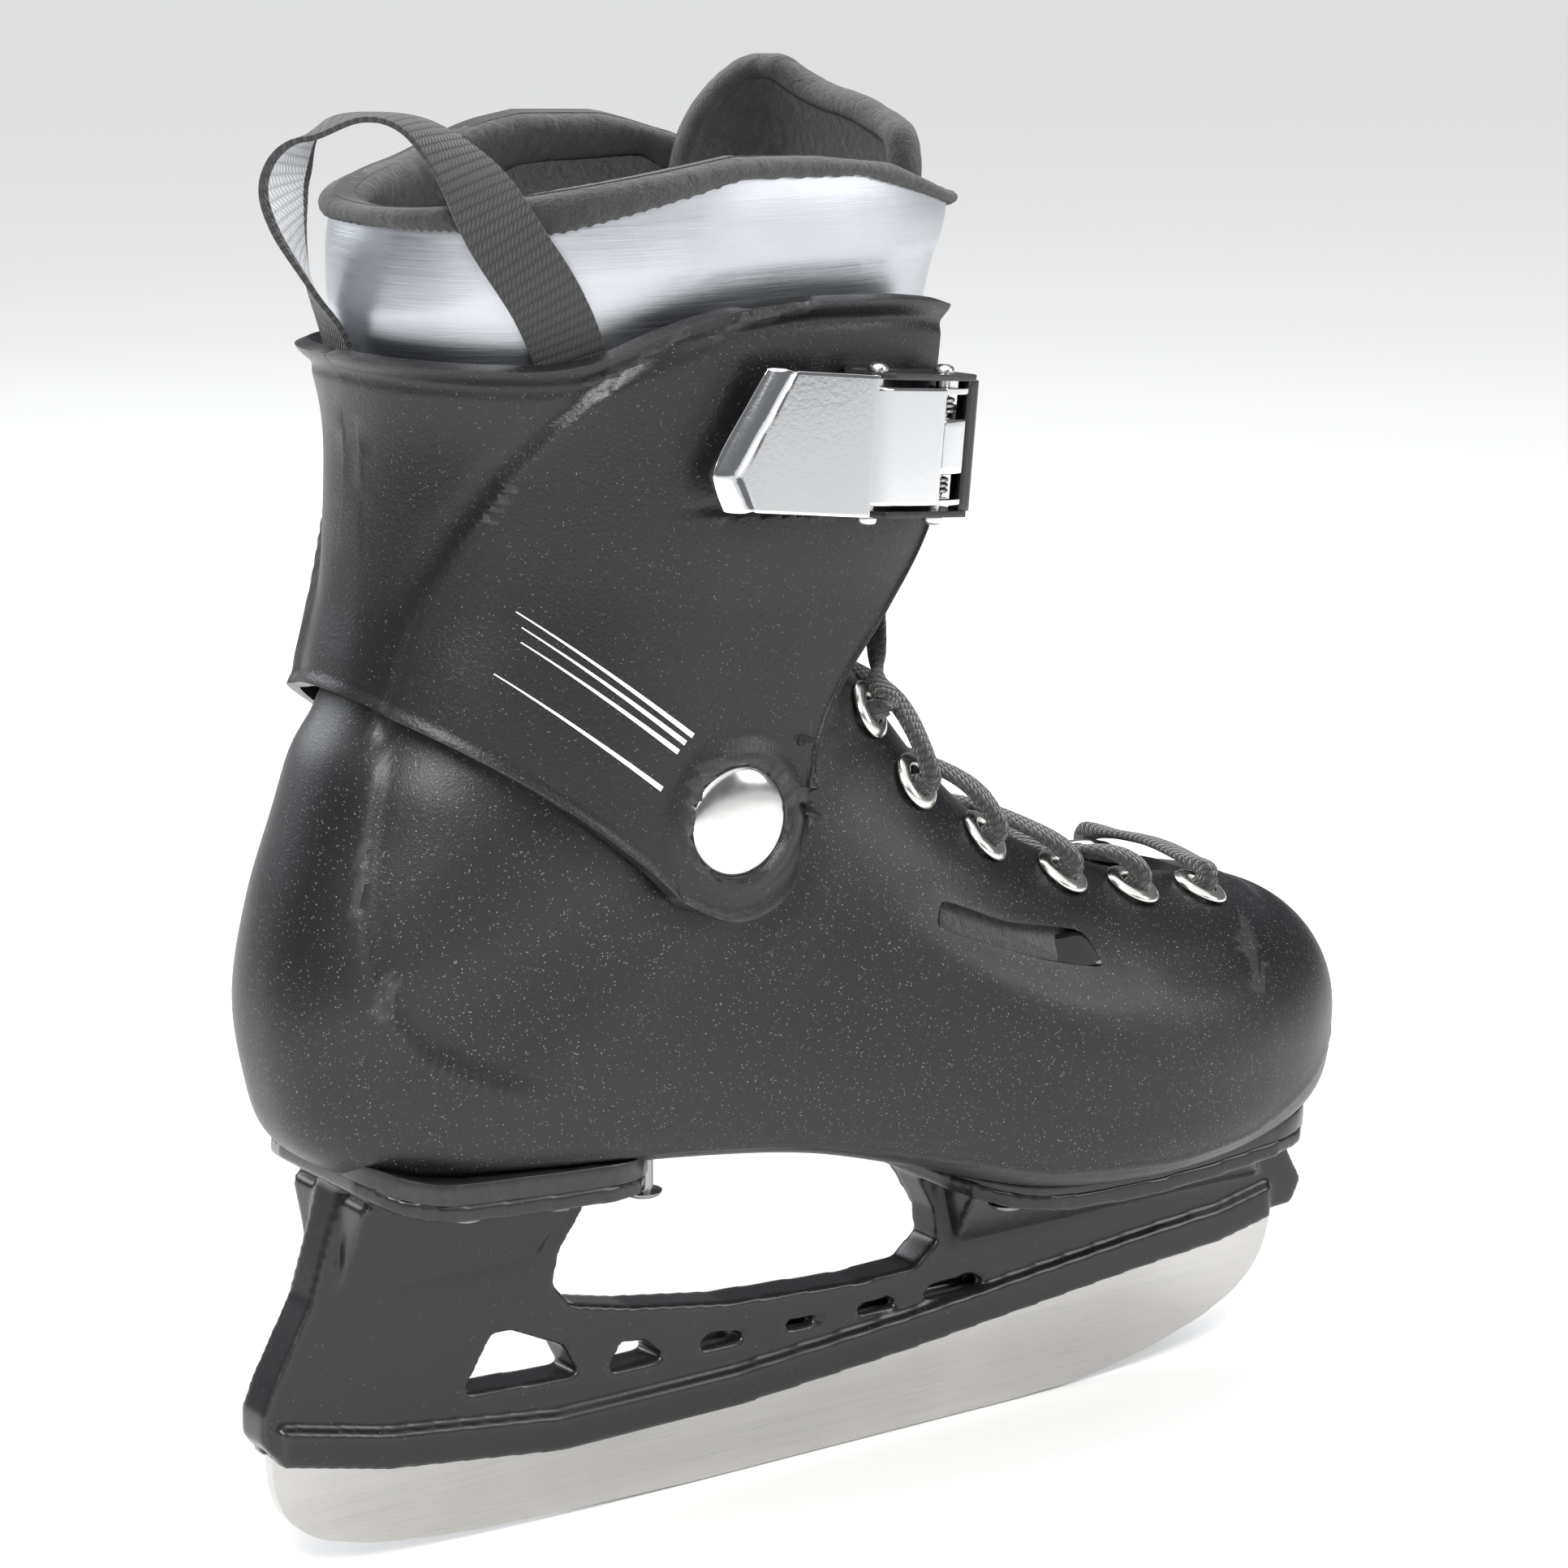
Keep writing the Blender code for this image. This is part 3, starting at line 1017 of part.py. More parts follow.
def build_lace():
    x, y = EYELETS[-1][0] * MM, (EYELETS[-1][1] - 9) * MM
    bar = [on_boot(x + 1.5 * MM, -y, OVER)[0], on_boot(x + 2.5 * MM, 0.05 * MM, OVER)[0], on_boot(x + 1.5 * MM, y, OVER)[0]]
    route = lace_strand(-1, CROSSING[0])[::-1] + bar + lace_strand(1, CROSSING[1])
    wire("lace", [Vector(p) for p in smooth_line(np.array(route), 92)], LACE_D / 2, WEBBING, 1)


shell = build_shell()
cuff = build_cuff()
build_runner()
build_holder()
build_rivets()
build_footbed()
build_liner()
build_tongue()
build_vent_panels()
build_eyelets()
build_pivots()
build_ladder(build_buckle())
build_pull_loop()
build_lace()
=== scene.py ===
"""Ice skate for the right foot: the finished look of a hinged hard boot on its riveted blade holder."""

import json
import math

import bmesh
import bpy
import numpy as np
from mathutils import Matrix, Vector

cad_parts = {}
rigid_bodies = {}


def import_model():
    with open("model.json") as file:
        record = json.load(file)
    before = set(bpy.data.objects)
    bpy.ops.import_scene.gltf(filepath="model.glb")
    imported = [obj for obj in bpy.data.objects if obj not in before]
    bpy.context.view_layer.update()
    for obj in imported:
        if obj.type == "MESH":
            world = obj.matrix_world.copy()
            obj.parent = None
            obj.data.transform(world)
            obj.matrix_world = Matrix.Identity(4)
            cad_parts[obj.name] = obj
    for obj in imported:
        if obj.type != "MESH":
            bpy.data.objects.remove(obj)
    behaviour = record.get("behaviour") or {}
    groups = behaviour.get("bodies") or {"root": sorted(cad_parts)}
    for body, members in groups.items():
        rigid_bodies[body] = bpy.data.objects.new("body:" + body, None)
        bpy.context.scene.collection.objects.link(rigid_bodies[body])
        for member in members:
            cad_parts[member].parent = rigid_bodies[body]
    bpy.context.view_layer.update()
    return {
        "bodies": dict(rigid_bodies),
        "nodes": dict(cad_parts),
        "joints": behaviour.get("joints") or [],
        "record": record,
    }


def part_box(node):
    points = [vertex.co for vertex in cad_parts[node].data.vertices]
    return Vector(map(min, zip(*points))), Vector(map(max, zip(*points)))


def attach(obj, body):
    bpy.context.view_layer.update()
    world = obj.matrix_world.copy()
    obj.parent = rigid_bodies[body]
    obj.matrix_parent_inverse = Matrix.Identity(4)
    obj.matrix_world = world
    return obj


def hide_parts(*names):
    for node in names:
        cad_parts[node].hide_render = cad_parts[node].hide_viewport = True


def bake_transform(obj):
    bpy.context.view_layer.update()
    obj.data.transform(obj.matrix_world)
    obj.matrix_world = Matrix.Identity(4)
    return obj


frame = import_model()
bpy.ops.object.select_all(action="DESELECT")

MM = 0.001

GAP = 0.3 * MM                 # between pieces that touch
SHELL_WALL = 3.0 * MM
CUFF_WALL = 3.2 * MM
CUFF_CLEARANCE = 1.2 * MM      # shell collar to the inside of the cuff, all through its travel
CUFF_BACK = math.radians(-4)   # cuff travel backwards and forwards
CUFF_FORWARD = math.radians(12)

LINER_DEPTH = 5.4 * MM         # outer face of the liner, below the outer face of the boot
LINER_SOLE_DEPTH = SHELL_WALL + 8.0 * MM       # the same under the foot, above the footbed
LINER_WALL = 4.5 * MM
TONGUE_WALL = 5.0 * MM
TONGUE_GAP = 2.0 * MM          # tongue to the inside of the liner

PIVOT = Vector((-28 * MM, 0, 177 * MM))
PIVOT_SLEEVE_R = 4.5 * MM
PIVOT_HOLE_R = 5.0 * MM
PIVOT_CAP_R = 12.7 * MM

RUNNER_THICK = 3.2 * MM
RUNNER_TOP = 33 * MM

EYELETS = ((23.4, 25.9), (33.5, 31.0), (54.6, 30.2), (80, 28.5), (103, 27.5), (129, 22.5))   # mm, in plan
EYELET_R = 7.3 * MM
EYELET_HOLE_R = 4.9 * MM
EYELET_BORE_R = 3.7 * MM
EYELET_LIFT = 1.1 * MM         # flange above the shell, which curves away under it

RIVET_Y = 24 * MM
HEEL_RIVET_X = (-87, -63, -39)
TOE_RIVET_X = (68, 101, 130)
RIVET_SHANK_R = 2.5 * MM
RIVET_HEAD_R = 4.6 * MM
INNER_HEAD_R = 3.2 * MM
WEBBING_W = 16 * MM

# boot sections, toe to collar: top x, top z, bottom x, bottom z, half width, height share of the widest
# point, squareness of the top, squareness of the bottom, sideways shift (mm)
BOOT = np.array([
    (182, 101, 180, 86, 0.0, .50, 2.2, 2.6, 7),
    (180, 107, 178, 79, 17.0, .52, 2.2, 3.0, 7),
    (175, 117, 171, 74, 30.0, .55, 2.2, 3.6, 6),
    (165, 125.5, 159, 71, 40.5, .58, 2.2, 4.2, 5),
    (148, 131, 142, 69, 48.0, .60, 2.2, 4.6, 3),
    (126, 137.5, 120, 67, 52.5, .62, 2.2, 4.6, 1),
    (102, 144, 95, 66.5, 54.0, .62, 2.2, 4.6, 0),
    (80, 153, 66, 69, 53.0, .62, 2.1, 4.4, 0),
    (60, 166, 36, 78, 50.0, .60, 2.1, 4.2, 0),
    (45, 181, 3, 87, 46.5, .58, 2.2, 4.2, 0),
    (36, 192, -34, 91.5, 43.5, .56, 2.4, 4.0, 0),
    (31, 198, -72, 94, 42.0, .54, 2.6, 3.8, 0),
    (27, 202.5, -102, 97, 41.5, .50, 2.8, 3.2, 0),
    (25, 205.5, -118, 105, 41.0, .46, 2.8, 2.6, 0),
    (23, 208, -124, 119, 41.0, .42, 2.8, 2.4, 0),
    (21, 210, -126, 137, 41.5, .40, 2.8, 2.4, 0),
    (19, 211, -122, 158, 42.0, .40, 2.8, 2.3, 0),
    (17, 212, -115, 178, 42.0, .42, 2.8, 2.2, 0),
    (15, 213, -108, 197, 42.0, .45, 2.8, 2.2, 0),
    (14, 214, -101, 213, 42.0, .48, 2.8, 2.2, 0),
]) * np.array([MM, MM, MM, MM, MM, 1, 1, 1, MM])

# leg part of the liner above the shell, in the same columns
LEG = np.array([
    (17.5, 219.5, -101.5, 223, 42.2, .50, 3.0, 2.2, 0),
    (38, 256, -100, 254, 44.0, .52, 3.2, 2.3, 0),
    (43, 275, -100, 273, 45.8, .52, 3.2, 2.3, 0),
    (48, 293, -101, 291, 49.5, .52, 3.2, 2.3, 0),
    (52, 308, -101, 306, 52.0, .52, 3.2, 2.3, 0),
    (52, 322, -99, 320, 52.5, .52, 3.2, 2.3, 0),
    (49, 336, -95, 334, 51.0, .52, 3.2, 2.3, 0),
    (44, 352, -90, 348, 49.0, .52, 3.2, 2.3, 0),
]) * np.array([MM, MM, MM, MM, MM, 1, 1, 1, MM])

# cuff sections: height, front, rear, half width (mm)
CUFF = np.array([
    (140, 30, -118, 46.0),
    (177, 36, -112, 46.0),
    (195, 39, -109.5, 46.0),
    (209, 42, -107, 46.0),
    (230, 46, -101.5, 46.5),
    (250, 48, -99, 48.0),
    (268, 49, -99, 49.5),
    (288, 51, -104, 51.5),
    (300, 52, -108, 53.0),
]) * MM
CUFF_MIDDLE = 0.48             # widest point, as a share of the section's length from the rear
CUFF_SQUARENESS = (2.3, 3.2)   # of the section behind and before its widest point

# cuff lower edge, rear middle to the front edge's foot, round the pivot lobe; then front and upper edges
CUFF_LOWER_EDGE = [(-107, 209), (-103, 206), (-92, 199), (-77, 189), (-64, 179), (-51, 168), (-41, 159),
                   (-27, 153.5), (-14, 158), (-9, 170), (-8, 183), (-4, 196), (4, 208), (13, 218), (21, 229),
                   (27, 242)]
CUFF_UPPER_EDGE = [(-104, 284), (-101, 283.5), (-94, 283), (-84, 282.5), (-73, 282.5), (-62, 284.5), (-52, 288),
                   (-42, 291), (-32, 293), (-20, 294), (-8, 294), (2, 293.5), (11, 293), (19, 292), (25, 291),
                   (29, 290)]

# where the shell steps in under the cuff, rear to front (mm)
STEP_LINE = [(-150, 203), (-108, 197), (-99, 192), (-84, 184), (-70, 176), (-56, 165), (-45, 154), (-28, 147),
             (-12, 149), (-1, 160), (3, 176), (9, 191), (20, 206), (40, 222), (70, 240)]
STEP_WIDTH = 3.0 * MM


# ---------------------------------------------------------------- lines and surfaces

def along(table, t):
    """Smooth values at the fractional rows t of a table (Catmull-Rom)."""
    table, t = np.asarray(table, float), np.clip(np.asarray(t, float), 0, len(table) - 1)
    i = np.minimum(t.astype(int), len(table) - 2)
    u = (t - i)[..., None]
    a, b, c, d = (table[np.clip(i + k, 0, len(table) - 1)] for k in (-1, 0, 1, 2))
    return 0.5 * (2 * b + (c - a) * u + (2 * a - 5 * b + 4 * c - d) * u ** 2 + (3 * b - a - 3 * c + d) * u ** 3)


def smooth_line(points, count):
    """Points spread evenly over the rows of a smooth line through the given ones."""
    return along(points, np.linspace(0, len(points) - 1, count))


def section_point(stations, t, angle):
    """A point of the boot's outer form: t runs along the stations, the angle round the section from its top,
    positive on the outer (-Y) side."""
    s = along(stations, t)
    top, bottom = s[..., 0:2], s[..., 2:4]
    width, widest, n_top, n_bottom, shift = (s[..., k] for k in range(4, 9))
    upper = np.cos(angle) >= 0
    power = np.where(upper, 2 / n_top, 2 / n_bottom)
    cosine = np.abs(np.cos(angle)) ** power
    side = np.abs(np.sin(angle)) ** power * np.sign(np.sin(angle))
    share = np.where(upper, widest * (1 - cosine), widest + (1 - widest) * cosine)
    line = top + (bottom - top) * share[..., None]
    return np.stack([line[..., 0], shift - side * np.maximum(width, 0), line[..., 1]], -1)


def cuff_section(z):
    """Front, rear and half width of the cuff's outer face at the heights z."""
    rows = np.interp(z, CUFF[:, 0], np.arange(len(CUFF)))
    table = along(CUFF, rows)
    return table[..., 1], table[..., 2], table[..., 3]


def cuff_half(x, z):
    """Middle, reach, half width and squareness of the half of the cuff's section that holds x."""
    front, rear, width = cuff_section(z)
    middle = rear + (front - rear) * CUFF_MIDDLE
    ahead = x > middle
    return middle, np.where(ahead, front - middle, middle - rear), width, np.where(ahead, *CUFF_SQUARENESS[::-1])


def cuff_level(points, inset):
    """Below 1 inside the cuff's outer face set in by inset, above 1 outside it."""
    x, y, z = (points[..., k] for k in range(3))
    middle, reach, width, n = cuff_half(x, z)
    return (np.abs((x - middle) / (reach - inset)) ** n + np.abs(y / (width - inset)) ** n) ** (1 / n)


def turned_about_pivot(points, angle):
    """Points turned about the cuff's hinge line; positive tips forwards."""
    x, z = points[..., 0] - PIVOT.x, points[..., 2] - PIVOT.z
    c, s = math.cos(angle), math.sin(angle)
    return np.stack([PIVOT.x + c * x + s * z, points[..., 1], PIVOT.z - s * x + c * z], -1)


def under_cuff(points, travel=1.0):
    """The points pulled in far enough to stay inside the cuff all through a share of its travel."""
    levels = [cuff_level(turned_about_pivot(points, -a * travel), CUFF_WALL + CUFF_CLEARANCE)
              for a in np.linspace(CUFF_BACK, CUFF_FORWARD, 9 if travel else 1)]
    scale = 1 / np.minimum(np.maximum.reduce(levels), 3)
    middle = cuff_half(points[..., 0], points[..., 2])[0]
    centre = np.stack([middle, 0 * middle, points[..., 2]], -1)
    return centre + (points - centre) * np.minimum(scale, 1)[..., None]


def above_step(points):
    """Signed distance above the line where the shell steps in under the cuff."""
    return line_distance(points[..., [0, 2]], np.array(STEP_LINE) * MM)[0]


def outer_form(t, angle):
    """The boot's outer form before it steps in under the cuff."""
    return section_point(BOOT, t, angle)


def boot_face(t, angle):
    """The shell's outer face, with its step under the cuff."""
    full = section_point(BOOT, t, angle)
    share = np.clip(above_step(full) / STEP_WIDTH, 0, 1)
    share = (share * share * (3 - 2 * share))[..., None]
    return full + (under_cuff(full) - full) * share


def sock_face(t, angle):
    """The boot's outer face with the leg above it, which the liner and the tongue follow."""
    full = section_point(np.vstack([BOOT, LEG]), t, angle)
    share = np.clip(above_step(full) / (3 * STEP_WIDTH) + 0.67, 0, 1)
    fade = np.clip((300 * MM - full[..., 2]) / (25 * MM), 0, 1)
    soft = np.clip((full[..., 2] - 216 * MM) / (20 * MM), 0, 1)[..., None]
    held = under_cuff(full) * (1 - soft) + under_cuff(full, 0.0) * soft
    return full + (held - full) * (share * fade)[..., None]


def sunk(face, t, angle, depth):
    """Points at a depth below a face, and the face's outward normals."""
    step = 0.02
    t, angle = np.broadcast_arrays(np.asarray(t, float), np.asarray(angle, float))
    inner_t = np.clip(t, 4 * step, None)
    around = face(inner_t, angle + step) - face(inner_t, angle - step)
    along_t = face(inner_t + step, angle) - face(inner_t - step, angle)
    normal = np.cross(along_t, around)
    normal /= np.maximum(np.linalg.norm(normal, axis=-1, keepdims=True), 1e-12)
    return face(t, angle) - normal * np.asarray(depth)[..., None], normal


def find_on(face, goal, t_range, angle_range, axes=(0, 1)):
    """The (t, angle) within the ranges where a face passes the goal, seen in plan or along other axes."""
    for _ in range(6):
        ts, angles = np.meshgrid(np.linspace(*t_range, 31), np.linspace(*angle_range, 31), indexing="ij")
        miss = ((face(ts, angles)[..., axes] - goal) ** 2).sum(-1)
        k = np.unravel_index(np.argmin(miss), miss.shape)
        t, angle = ts[k], angles[k]
        t_reach, angle_reach = np.ptp(t_range) * 0.08, np.ptp(angle_range) * 0.08
        t_range, angle_range = (t - t_reach, t + t_reach), (angle - angle_reach, angle + angle_reach)
    return t, angle


THROAT_START = 4.7             # station where the throat opens
THROAT_HALF = [(4.7, 10), (5, 13), (5.6, 17), (6.6, 18.5), (7.8, 20), (9.4, 20.5), (10.4, 18.5), (11.3, 16.5),
               (13, 19), (15, 23), (17, 26), (19, 28)]   # station, half width of the throat (mm)


def throat_angle(t):
    """The section angle of the throat's edge at station t."""
    half = np.interp(t, [k for k, _ in THROAT_HALF], [w for _, w in THROAT_HALF]) * MM
    angles = np.linspace(0.02, 1.5, 300)
    reach = np.array([-section_point(BOOT, np.float64(t), a)[1] for a in angles])
    return float(np.interp(half, reach, angles))


VENT_WINDOW = [(33, 149), (30, 142.5), (62, 130), (80, 125.5), (77, 134.5), (52, 140.5)]


def eyelet_place(k, side):
    """Where an eyelet sits on the outer face and the face's normal there."""
    return on_boot(EYELETS[k][0] * MM, side * EYELETS[k][1] * MM)


def on_boot(x, y, height=0.0):
    """The point of the boot's top at x, y in plan, raised along the outward normal, and that normal."""
    angles = (0.0, 1.3) if y < 0 else (-1.3, 0.0)
    t, angle = find_on(outer_form, (x, y), (2.5, 14), angles)
    point, normal = sunk(outer_form, t, angle, -height)
    return Vector(point), Vector(normal)


def sole_height(x, y):
    """Height of the boot's underside at a point of the plan."""
    t, angle = find_on(outer_form, (x, -abs(y)), (0.5, 13.5), (2.0, math.pi))
    return float(outer_form(t, angle)[2])


def cuff_face(x, z):
    """Half width of the cuff's outer face at a point of the side view."""
    middle, reach, width, n = cuff_half(x, z)
    return width * (1 - np.clip(np.abs((x - middle) / reach), 0, 1) ** n) ** (1 / n)


def cuff_angle(x, z):
    """How far round the section, from the rear, a point of the side view lies."""
    middle, reach, _, n = cuff_half(x, z)
    share = np.clip((middle - x) / reach, -1, 1)
    return np.arccos(np.sign(share) * np.abs(share) ** (n / 2))


def cuff_at(angle, z):
    """The cuff's outer face at an angle round the section, from the rear over the outer side."""
    cosine, sine = np.cos(angle), np.sin(angle)
    front, rear, _ = cuff_section(z)
    middle, reach, width, n = cuff_half(np.where(cosine < 0, front, rear), z)
    x = middle - reach * np.sign(cosine) * np.abs(cosine) ** (2 / n)
    return np.stack([x, -width * np.sign(sine) * np.abs(sine) ** (2 / n), z], -1)


HEEL_PLATE = (-112, -36, 34)   # rear, front, half width (mm)
TOE_PLATE = (52, 163, 38)
RUNNER_HEEL = [(-126, 32), (-125.6, 25), (-124, 19.5), (-122, 16), (-118, 12), (-113, 9), (-106, 6.8), (-100, 5.2),
               (-87, 3.3), (-73, 2.0), (-60, 1.4), (-46, 0.9), (-32, 0.45)]
RUNNER_FLAT = (-10, 90)        # where the steel rests on the ice
RUNNER_TOE = [(102, 0.4), (110, 1.0), (118, 2.0), (126, 3.3), (134.5, 5.0), (143, 7.4), (151, 9.8), (156, 12.1),
              (161, 14.5), (166, 18.3), (168.5, 21), (171, 24.8), (173, 30.5), (173.2, 33.5)]


# station, half width of the liner's opening (mm)
LINER_EDGE = [(4, 14), (4.5, 28), (5, 33), (6, 37), (10, 37), (12, 30), (14, 24), (17, 22), (25, 22)]


def edge_angle(t, table, reach):
    """The section angle where the sock is the table's half width from the middle."""
    half = np.interp(t, [k for k, _ in table], [w for _, w in table]) * MM
    angles = np.linspace(0.02, reach, 200)
    across = -section_point(np.vstack([BOOT, LEG]), np.full(200, float(t)), angles)[:, 1]
    return float(np.interp(half, across, angles))


def liner_depth(normal):
    return LINER_DEPTH + (LINER_SOLE_DEPTH - LINER_DEPTH) * np.clip(-normal[..., 2], 0, 1) ** 2


BUCKLE_Z = 259 * MM            # height of the buckle's middle at its pin
BUCKLE_SLOPE = 0.12            # how far it drops towards the front
BUCKLE_PIN_X = 19.5 * MM
LEVER_LENGTH = 60 * MM
LEVER_HALF = 13.5 * MM
PIN_R = 1.6 * MM
LEVER_LIFT = 8.5 * MM          # lever pin above the cuff
LEVER_T = 2.4 * MM
LEVER_BOSS_R = 3.2 * MM
PAWL_LIFT = 7.4 * MM
PAWL_BACK = 22 * MM            # pawl pin behind the lever pin
LADDER_LIFT = 3.9 * MM         # middle of the ladder strap above the cuff, in the buckle
LADDER_HALF = 7 * MM
LADDER_T = 1.5 * MM
SPRING_R = 2.6 * MM
SPRING_MIDDLE = 9 * MM         # height of the springs above and below the lever's middle


def buckle_frame():
    """The buckle's placement: local X forwards along the cuff, Y inwards, Z up the pins."""
    x, z = BUCKLE_PIN_X, BUCKLE_Z
    ahead, behind = x + 9 * MM, x - 14 * MM
    forward = Vector((ahead - behind, float(-cuff_face(ahead, z) + cuff_face(behind, z)),
                      -BUCKLE_SLOPE * (ahead - behind))).normalized()
    up = Vector((0, 0, 1))
    inward = up.cross(forward).normalized()
    up = forward.cross(inward)
    matrix = Matrix((forward, inward, up)).transposed().to_4x4()
    matrix.translation = Vector((x, float(-cuff_face(x, z)), z))
    proud = max(-cuff_line_in_frame(matrix, t, u) for t in np.linspace(-26, 12, 12) * MM
                for u in (-LEVER_HALF - 3 * MM, 0.0, LEVER_HALF + 3 * MM))
    matrix.translation += matrix.to_3x3() @ Vector((0, -proud, 0))
    return matrix


def cuff_line_in_frame(frame, t, u=0.0):
    """How far inwards the cuff's face lies at t along the buckle and u up its pins."""
    back = frame.inverted()
    reach = 0.0
    for _ in range(12):
        p = frame @ Vector((t, reach, u))
        face = float(-cuff_face(p.x, p.z))
        q = back @ Vector((p.x, face, p.z))
        reach += (q.y - reach) * 0.7
    return reach


LOOP_PATH = [(-94.6, 8, 275), (-96.0, 8, 281), (-99.2, 7, 289), (-105.5, 5, 300), (-110.5, 4, 313), (-112, 2, 323),
             (-107, -2, 331.5), (-98, -10, 335), (-91, -19, 333), (-86, -30, 324), (-82, -38.5, 311),
             (-74, -42, 297), (-67, -40.4, 284), (-65, -39.7, 273)]
LOOP_ACROSS = [(0.14, 0.99, 0), (0.14, 0.99, 0), (0.2, 0.97, 0), (0.5, 0.85, 0), (0.8, 0.5, 0), (0.9, 0.3, 0.1),
               (0.8, 0.4, 0.3), (0.75, 0.6, 0), (0.8, 0.5, 0), (0.9, 0.1, 0.1), (0.88, -0.42, 0.2),
               (0.93, -0.35, 0.1), (0.95, -0.3, 0), (0.95, -0.3, 0)]


OVER, UNDER = 4.4 * MM, -6.0 * MM      # lace above and below the boot's outer face
CROSSING = (-0.4 * MM, -5.0 * MM)      # the two strands where they cross
EDGE_IN = 10 * MM              # from an eyelet to where the lace turns over the throat's edge
LACE_TOP = [(28.5, 23.5, 200), (31, 19, 213), (35, 14, 227), (37, 10, 240)]   # from the top eyelet under the cuff


# ---------------------------------------------------------------- shader groups
def shader_group(name, inputs, outputs):
    tree = bpy.data.node_groups.new(name, "ShaderNodeTree")
    for label, kind, value in inputs:
        socket = tree.interface.new_socket(label, in_out="INPUT", socket_type=kind)
        if value is not None:
            socket.default_value = value
    for label, kind in outputs:
        tree.interface.new_socket(label, in_out="OUTPUT", socket_type=kind)
    return tree, tree.nodes.new("NodeGroupInput"), tree.nodes.new("NodeGroupOutput")


def node(tree, kind, values=(), **settings):
    made = tree.nodes.new(kind)
    for key, value in settings.items():
        setattr(made, key, value)
    for key, value in values:
        made.inputs[key].default_value = value
    return made


def maths(tree, operation, a, b=None, clamp=False):
    made = tree.nodes.new("ShaderNodeMath")
    made.operation = operation
    made.use_clamp = clamp
    for socket, value in zip(made.inputs, (a, b)):
        if value is None:
            continue
        if isinstance(value, (int, float)):
            socket.default_value = value
        else:
            tree.links.new(value, socket)
    return made.outputs[0]


def make_moulded_grain():
    """Injection-moulded plastic: fine grain, soft cloudiness and bright flecks in the pigment."""
    tree, given, out = shader_group(
        "moulded grain",
        [("Grain size", "NodeSocketFloat", 1700), ("Fleck size", "NodeSocketFloat", 2400),
         ("Fleck share", "NodeSocketFloat", 0.12)],
        [("Height", "NodeSocketFloat"), ("Fleck", "NodeSocketFloat"), ("Cloud", "NodeSocketFloat")])
    place = node(tree, "ShaderNodeTexCoord").outputs["Object"]
    grain = node(tree, "ShaderNodeTexNoise", [("Detail", 3), ("Roughness", 0.55), ("Distortion", 0.4)])
    cells = node(tree, "ShaderNodeTexVoronoi")
    cloud = node(tree, "ShaderNodeTexNoise", [("Scale", 38), ("Detail", 4)])
    for texture in (grain, cells, cloud):
        tree.links.new(place, texture.inputs["Vector"])
    tree.links.new(given.outputs["Grain size"], grain.inputs["Scale"])
    tree.links.new(given.outputs["Fleck size"], cells.inputs["Scale"])
    pick = node(tree, "ShaderNodeSeparateColor")
    tree.links.new(cells.outputs["Color"], pick.inputs[0])
    chosen = maths(tree, "LESS_THAN", pick.outputs[0], given.outputs["Fleck share"])
    near = maths(tree, "LESS_THAN", cells.outputs["Distance"], 0.42)
    fleck = maths(tree, "MULTIPLY", maths(tree, "MULTIPLY", chosen, near), pick.outputs[1])
    tree.links.new(grain.outputs["Fac"], out.inputs["Height"])
    tree.links.new(fleck, out.inputs["Fleck"])
    tree.links.new(cloud.outputs["Fac"], out.inputs["Cloud"])
    return tree


def make_edge_wear():
    """Where corners and rims are rubbed pale."""
    tree, given, out = shader_group(
        "edge wear", [("Reach", "NodeSocketFloat", 0.08)], [("Mask", "NodeSocketFloat")])
    point = node(tree, "ShaderNodeNewGeometry").outputs["Pointiness"]
    place = node(tree, "ShaderNodeTexCoord").outputs["Object"]
    breakup = node(tree, "ShaderNodeTexNoise", [("Scale", 420), ("Detail", 5)])
    tree.links.new(place, breakup.inputs["Vector"])
    proud = maths(tree, "SUBTRACT", point, 0.5)
    proud = maths(tree, "DIVIDE", proud, given.outputs["Reach"], True)
    tree.links.new(maths(tree, "MULTIPLY", proud, breakup.outputs["Fac"], True), out.inputs["Mask"])
    return tree


def make_brushed():
    """Fine brushing lines along one direction, with a slow stain over them."""
    tree, given, out = shader_group(
        "brushed lines",
        [("Stretch", "NodeSocketVector", (40, 4000, 4000)), ("Stain size", "NodeSocketFloat", 30)],
        [("Lines", "NodeSocketFloat"), ("Stain", "NodeSocketFloat")])
    place = node(tree, "ShaderNodeTexCoord").outputs["Object"]
    scaled = node(tree, "ShaderNodeVectorMath", operation="MULTIPLY")
    tree.links.new(place, scaled.inputs[0])
    tree.links.new(given.outputs["Stretch"], scaled.inputs[1])
    lines = node(tree, "ShaderNodeTexNoise", [("Scale", 1), ("Detail", 4), ("Roughness", 0.6)])
    stain = node(tree, "ShaderNodeTexNoise", [("Detail", 3)])
    tree.links.new(scaled.outputs[0], lines.inputs["Vector"])
    tree.links.new(place, stain.inputs["Vector"])
    tree.links.new(given.outputs["Stain size"], stain.inputs["Scale"])
    tree.links.new(lines.outputs["Fac"], out.inputs["Lines"])
    tree.links.new(stain.outputs["Fac"], out.inputs["Stain"])
    return tree


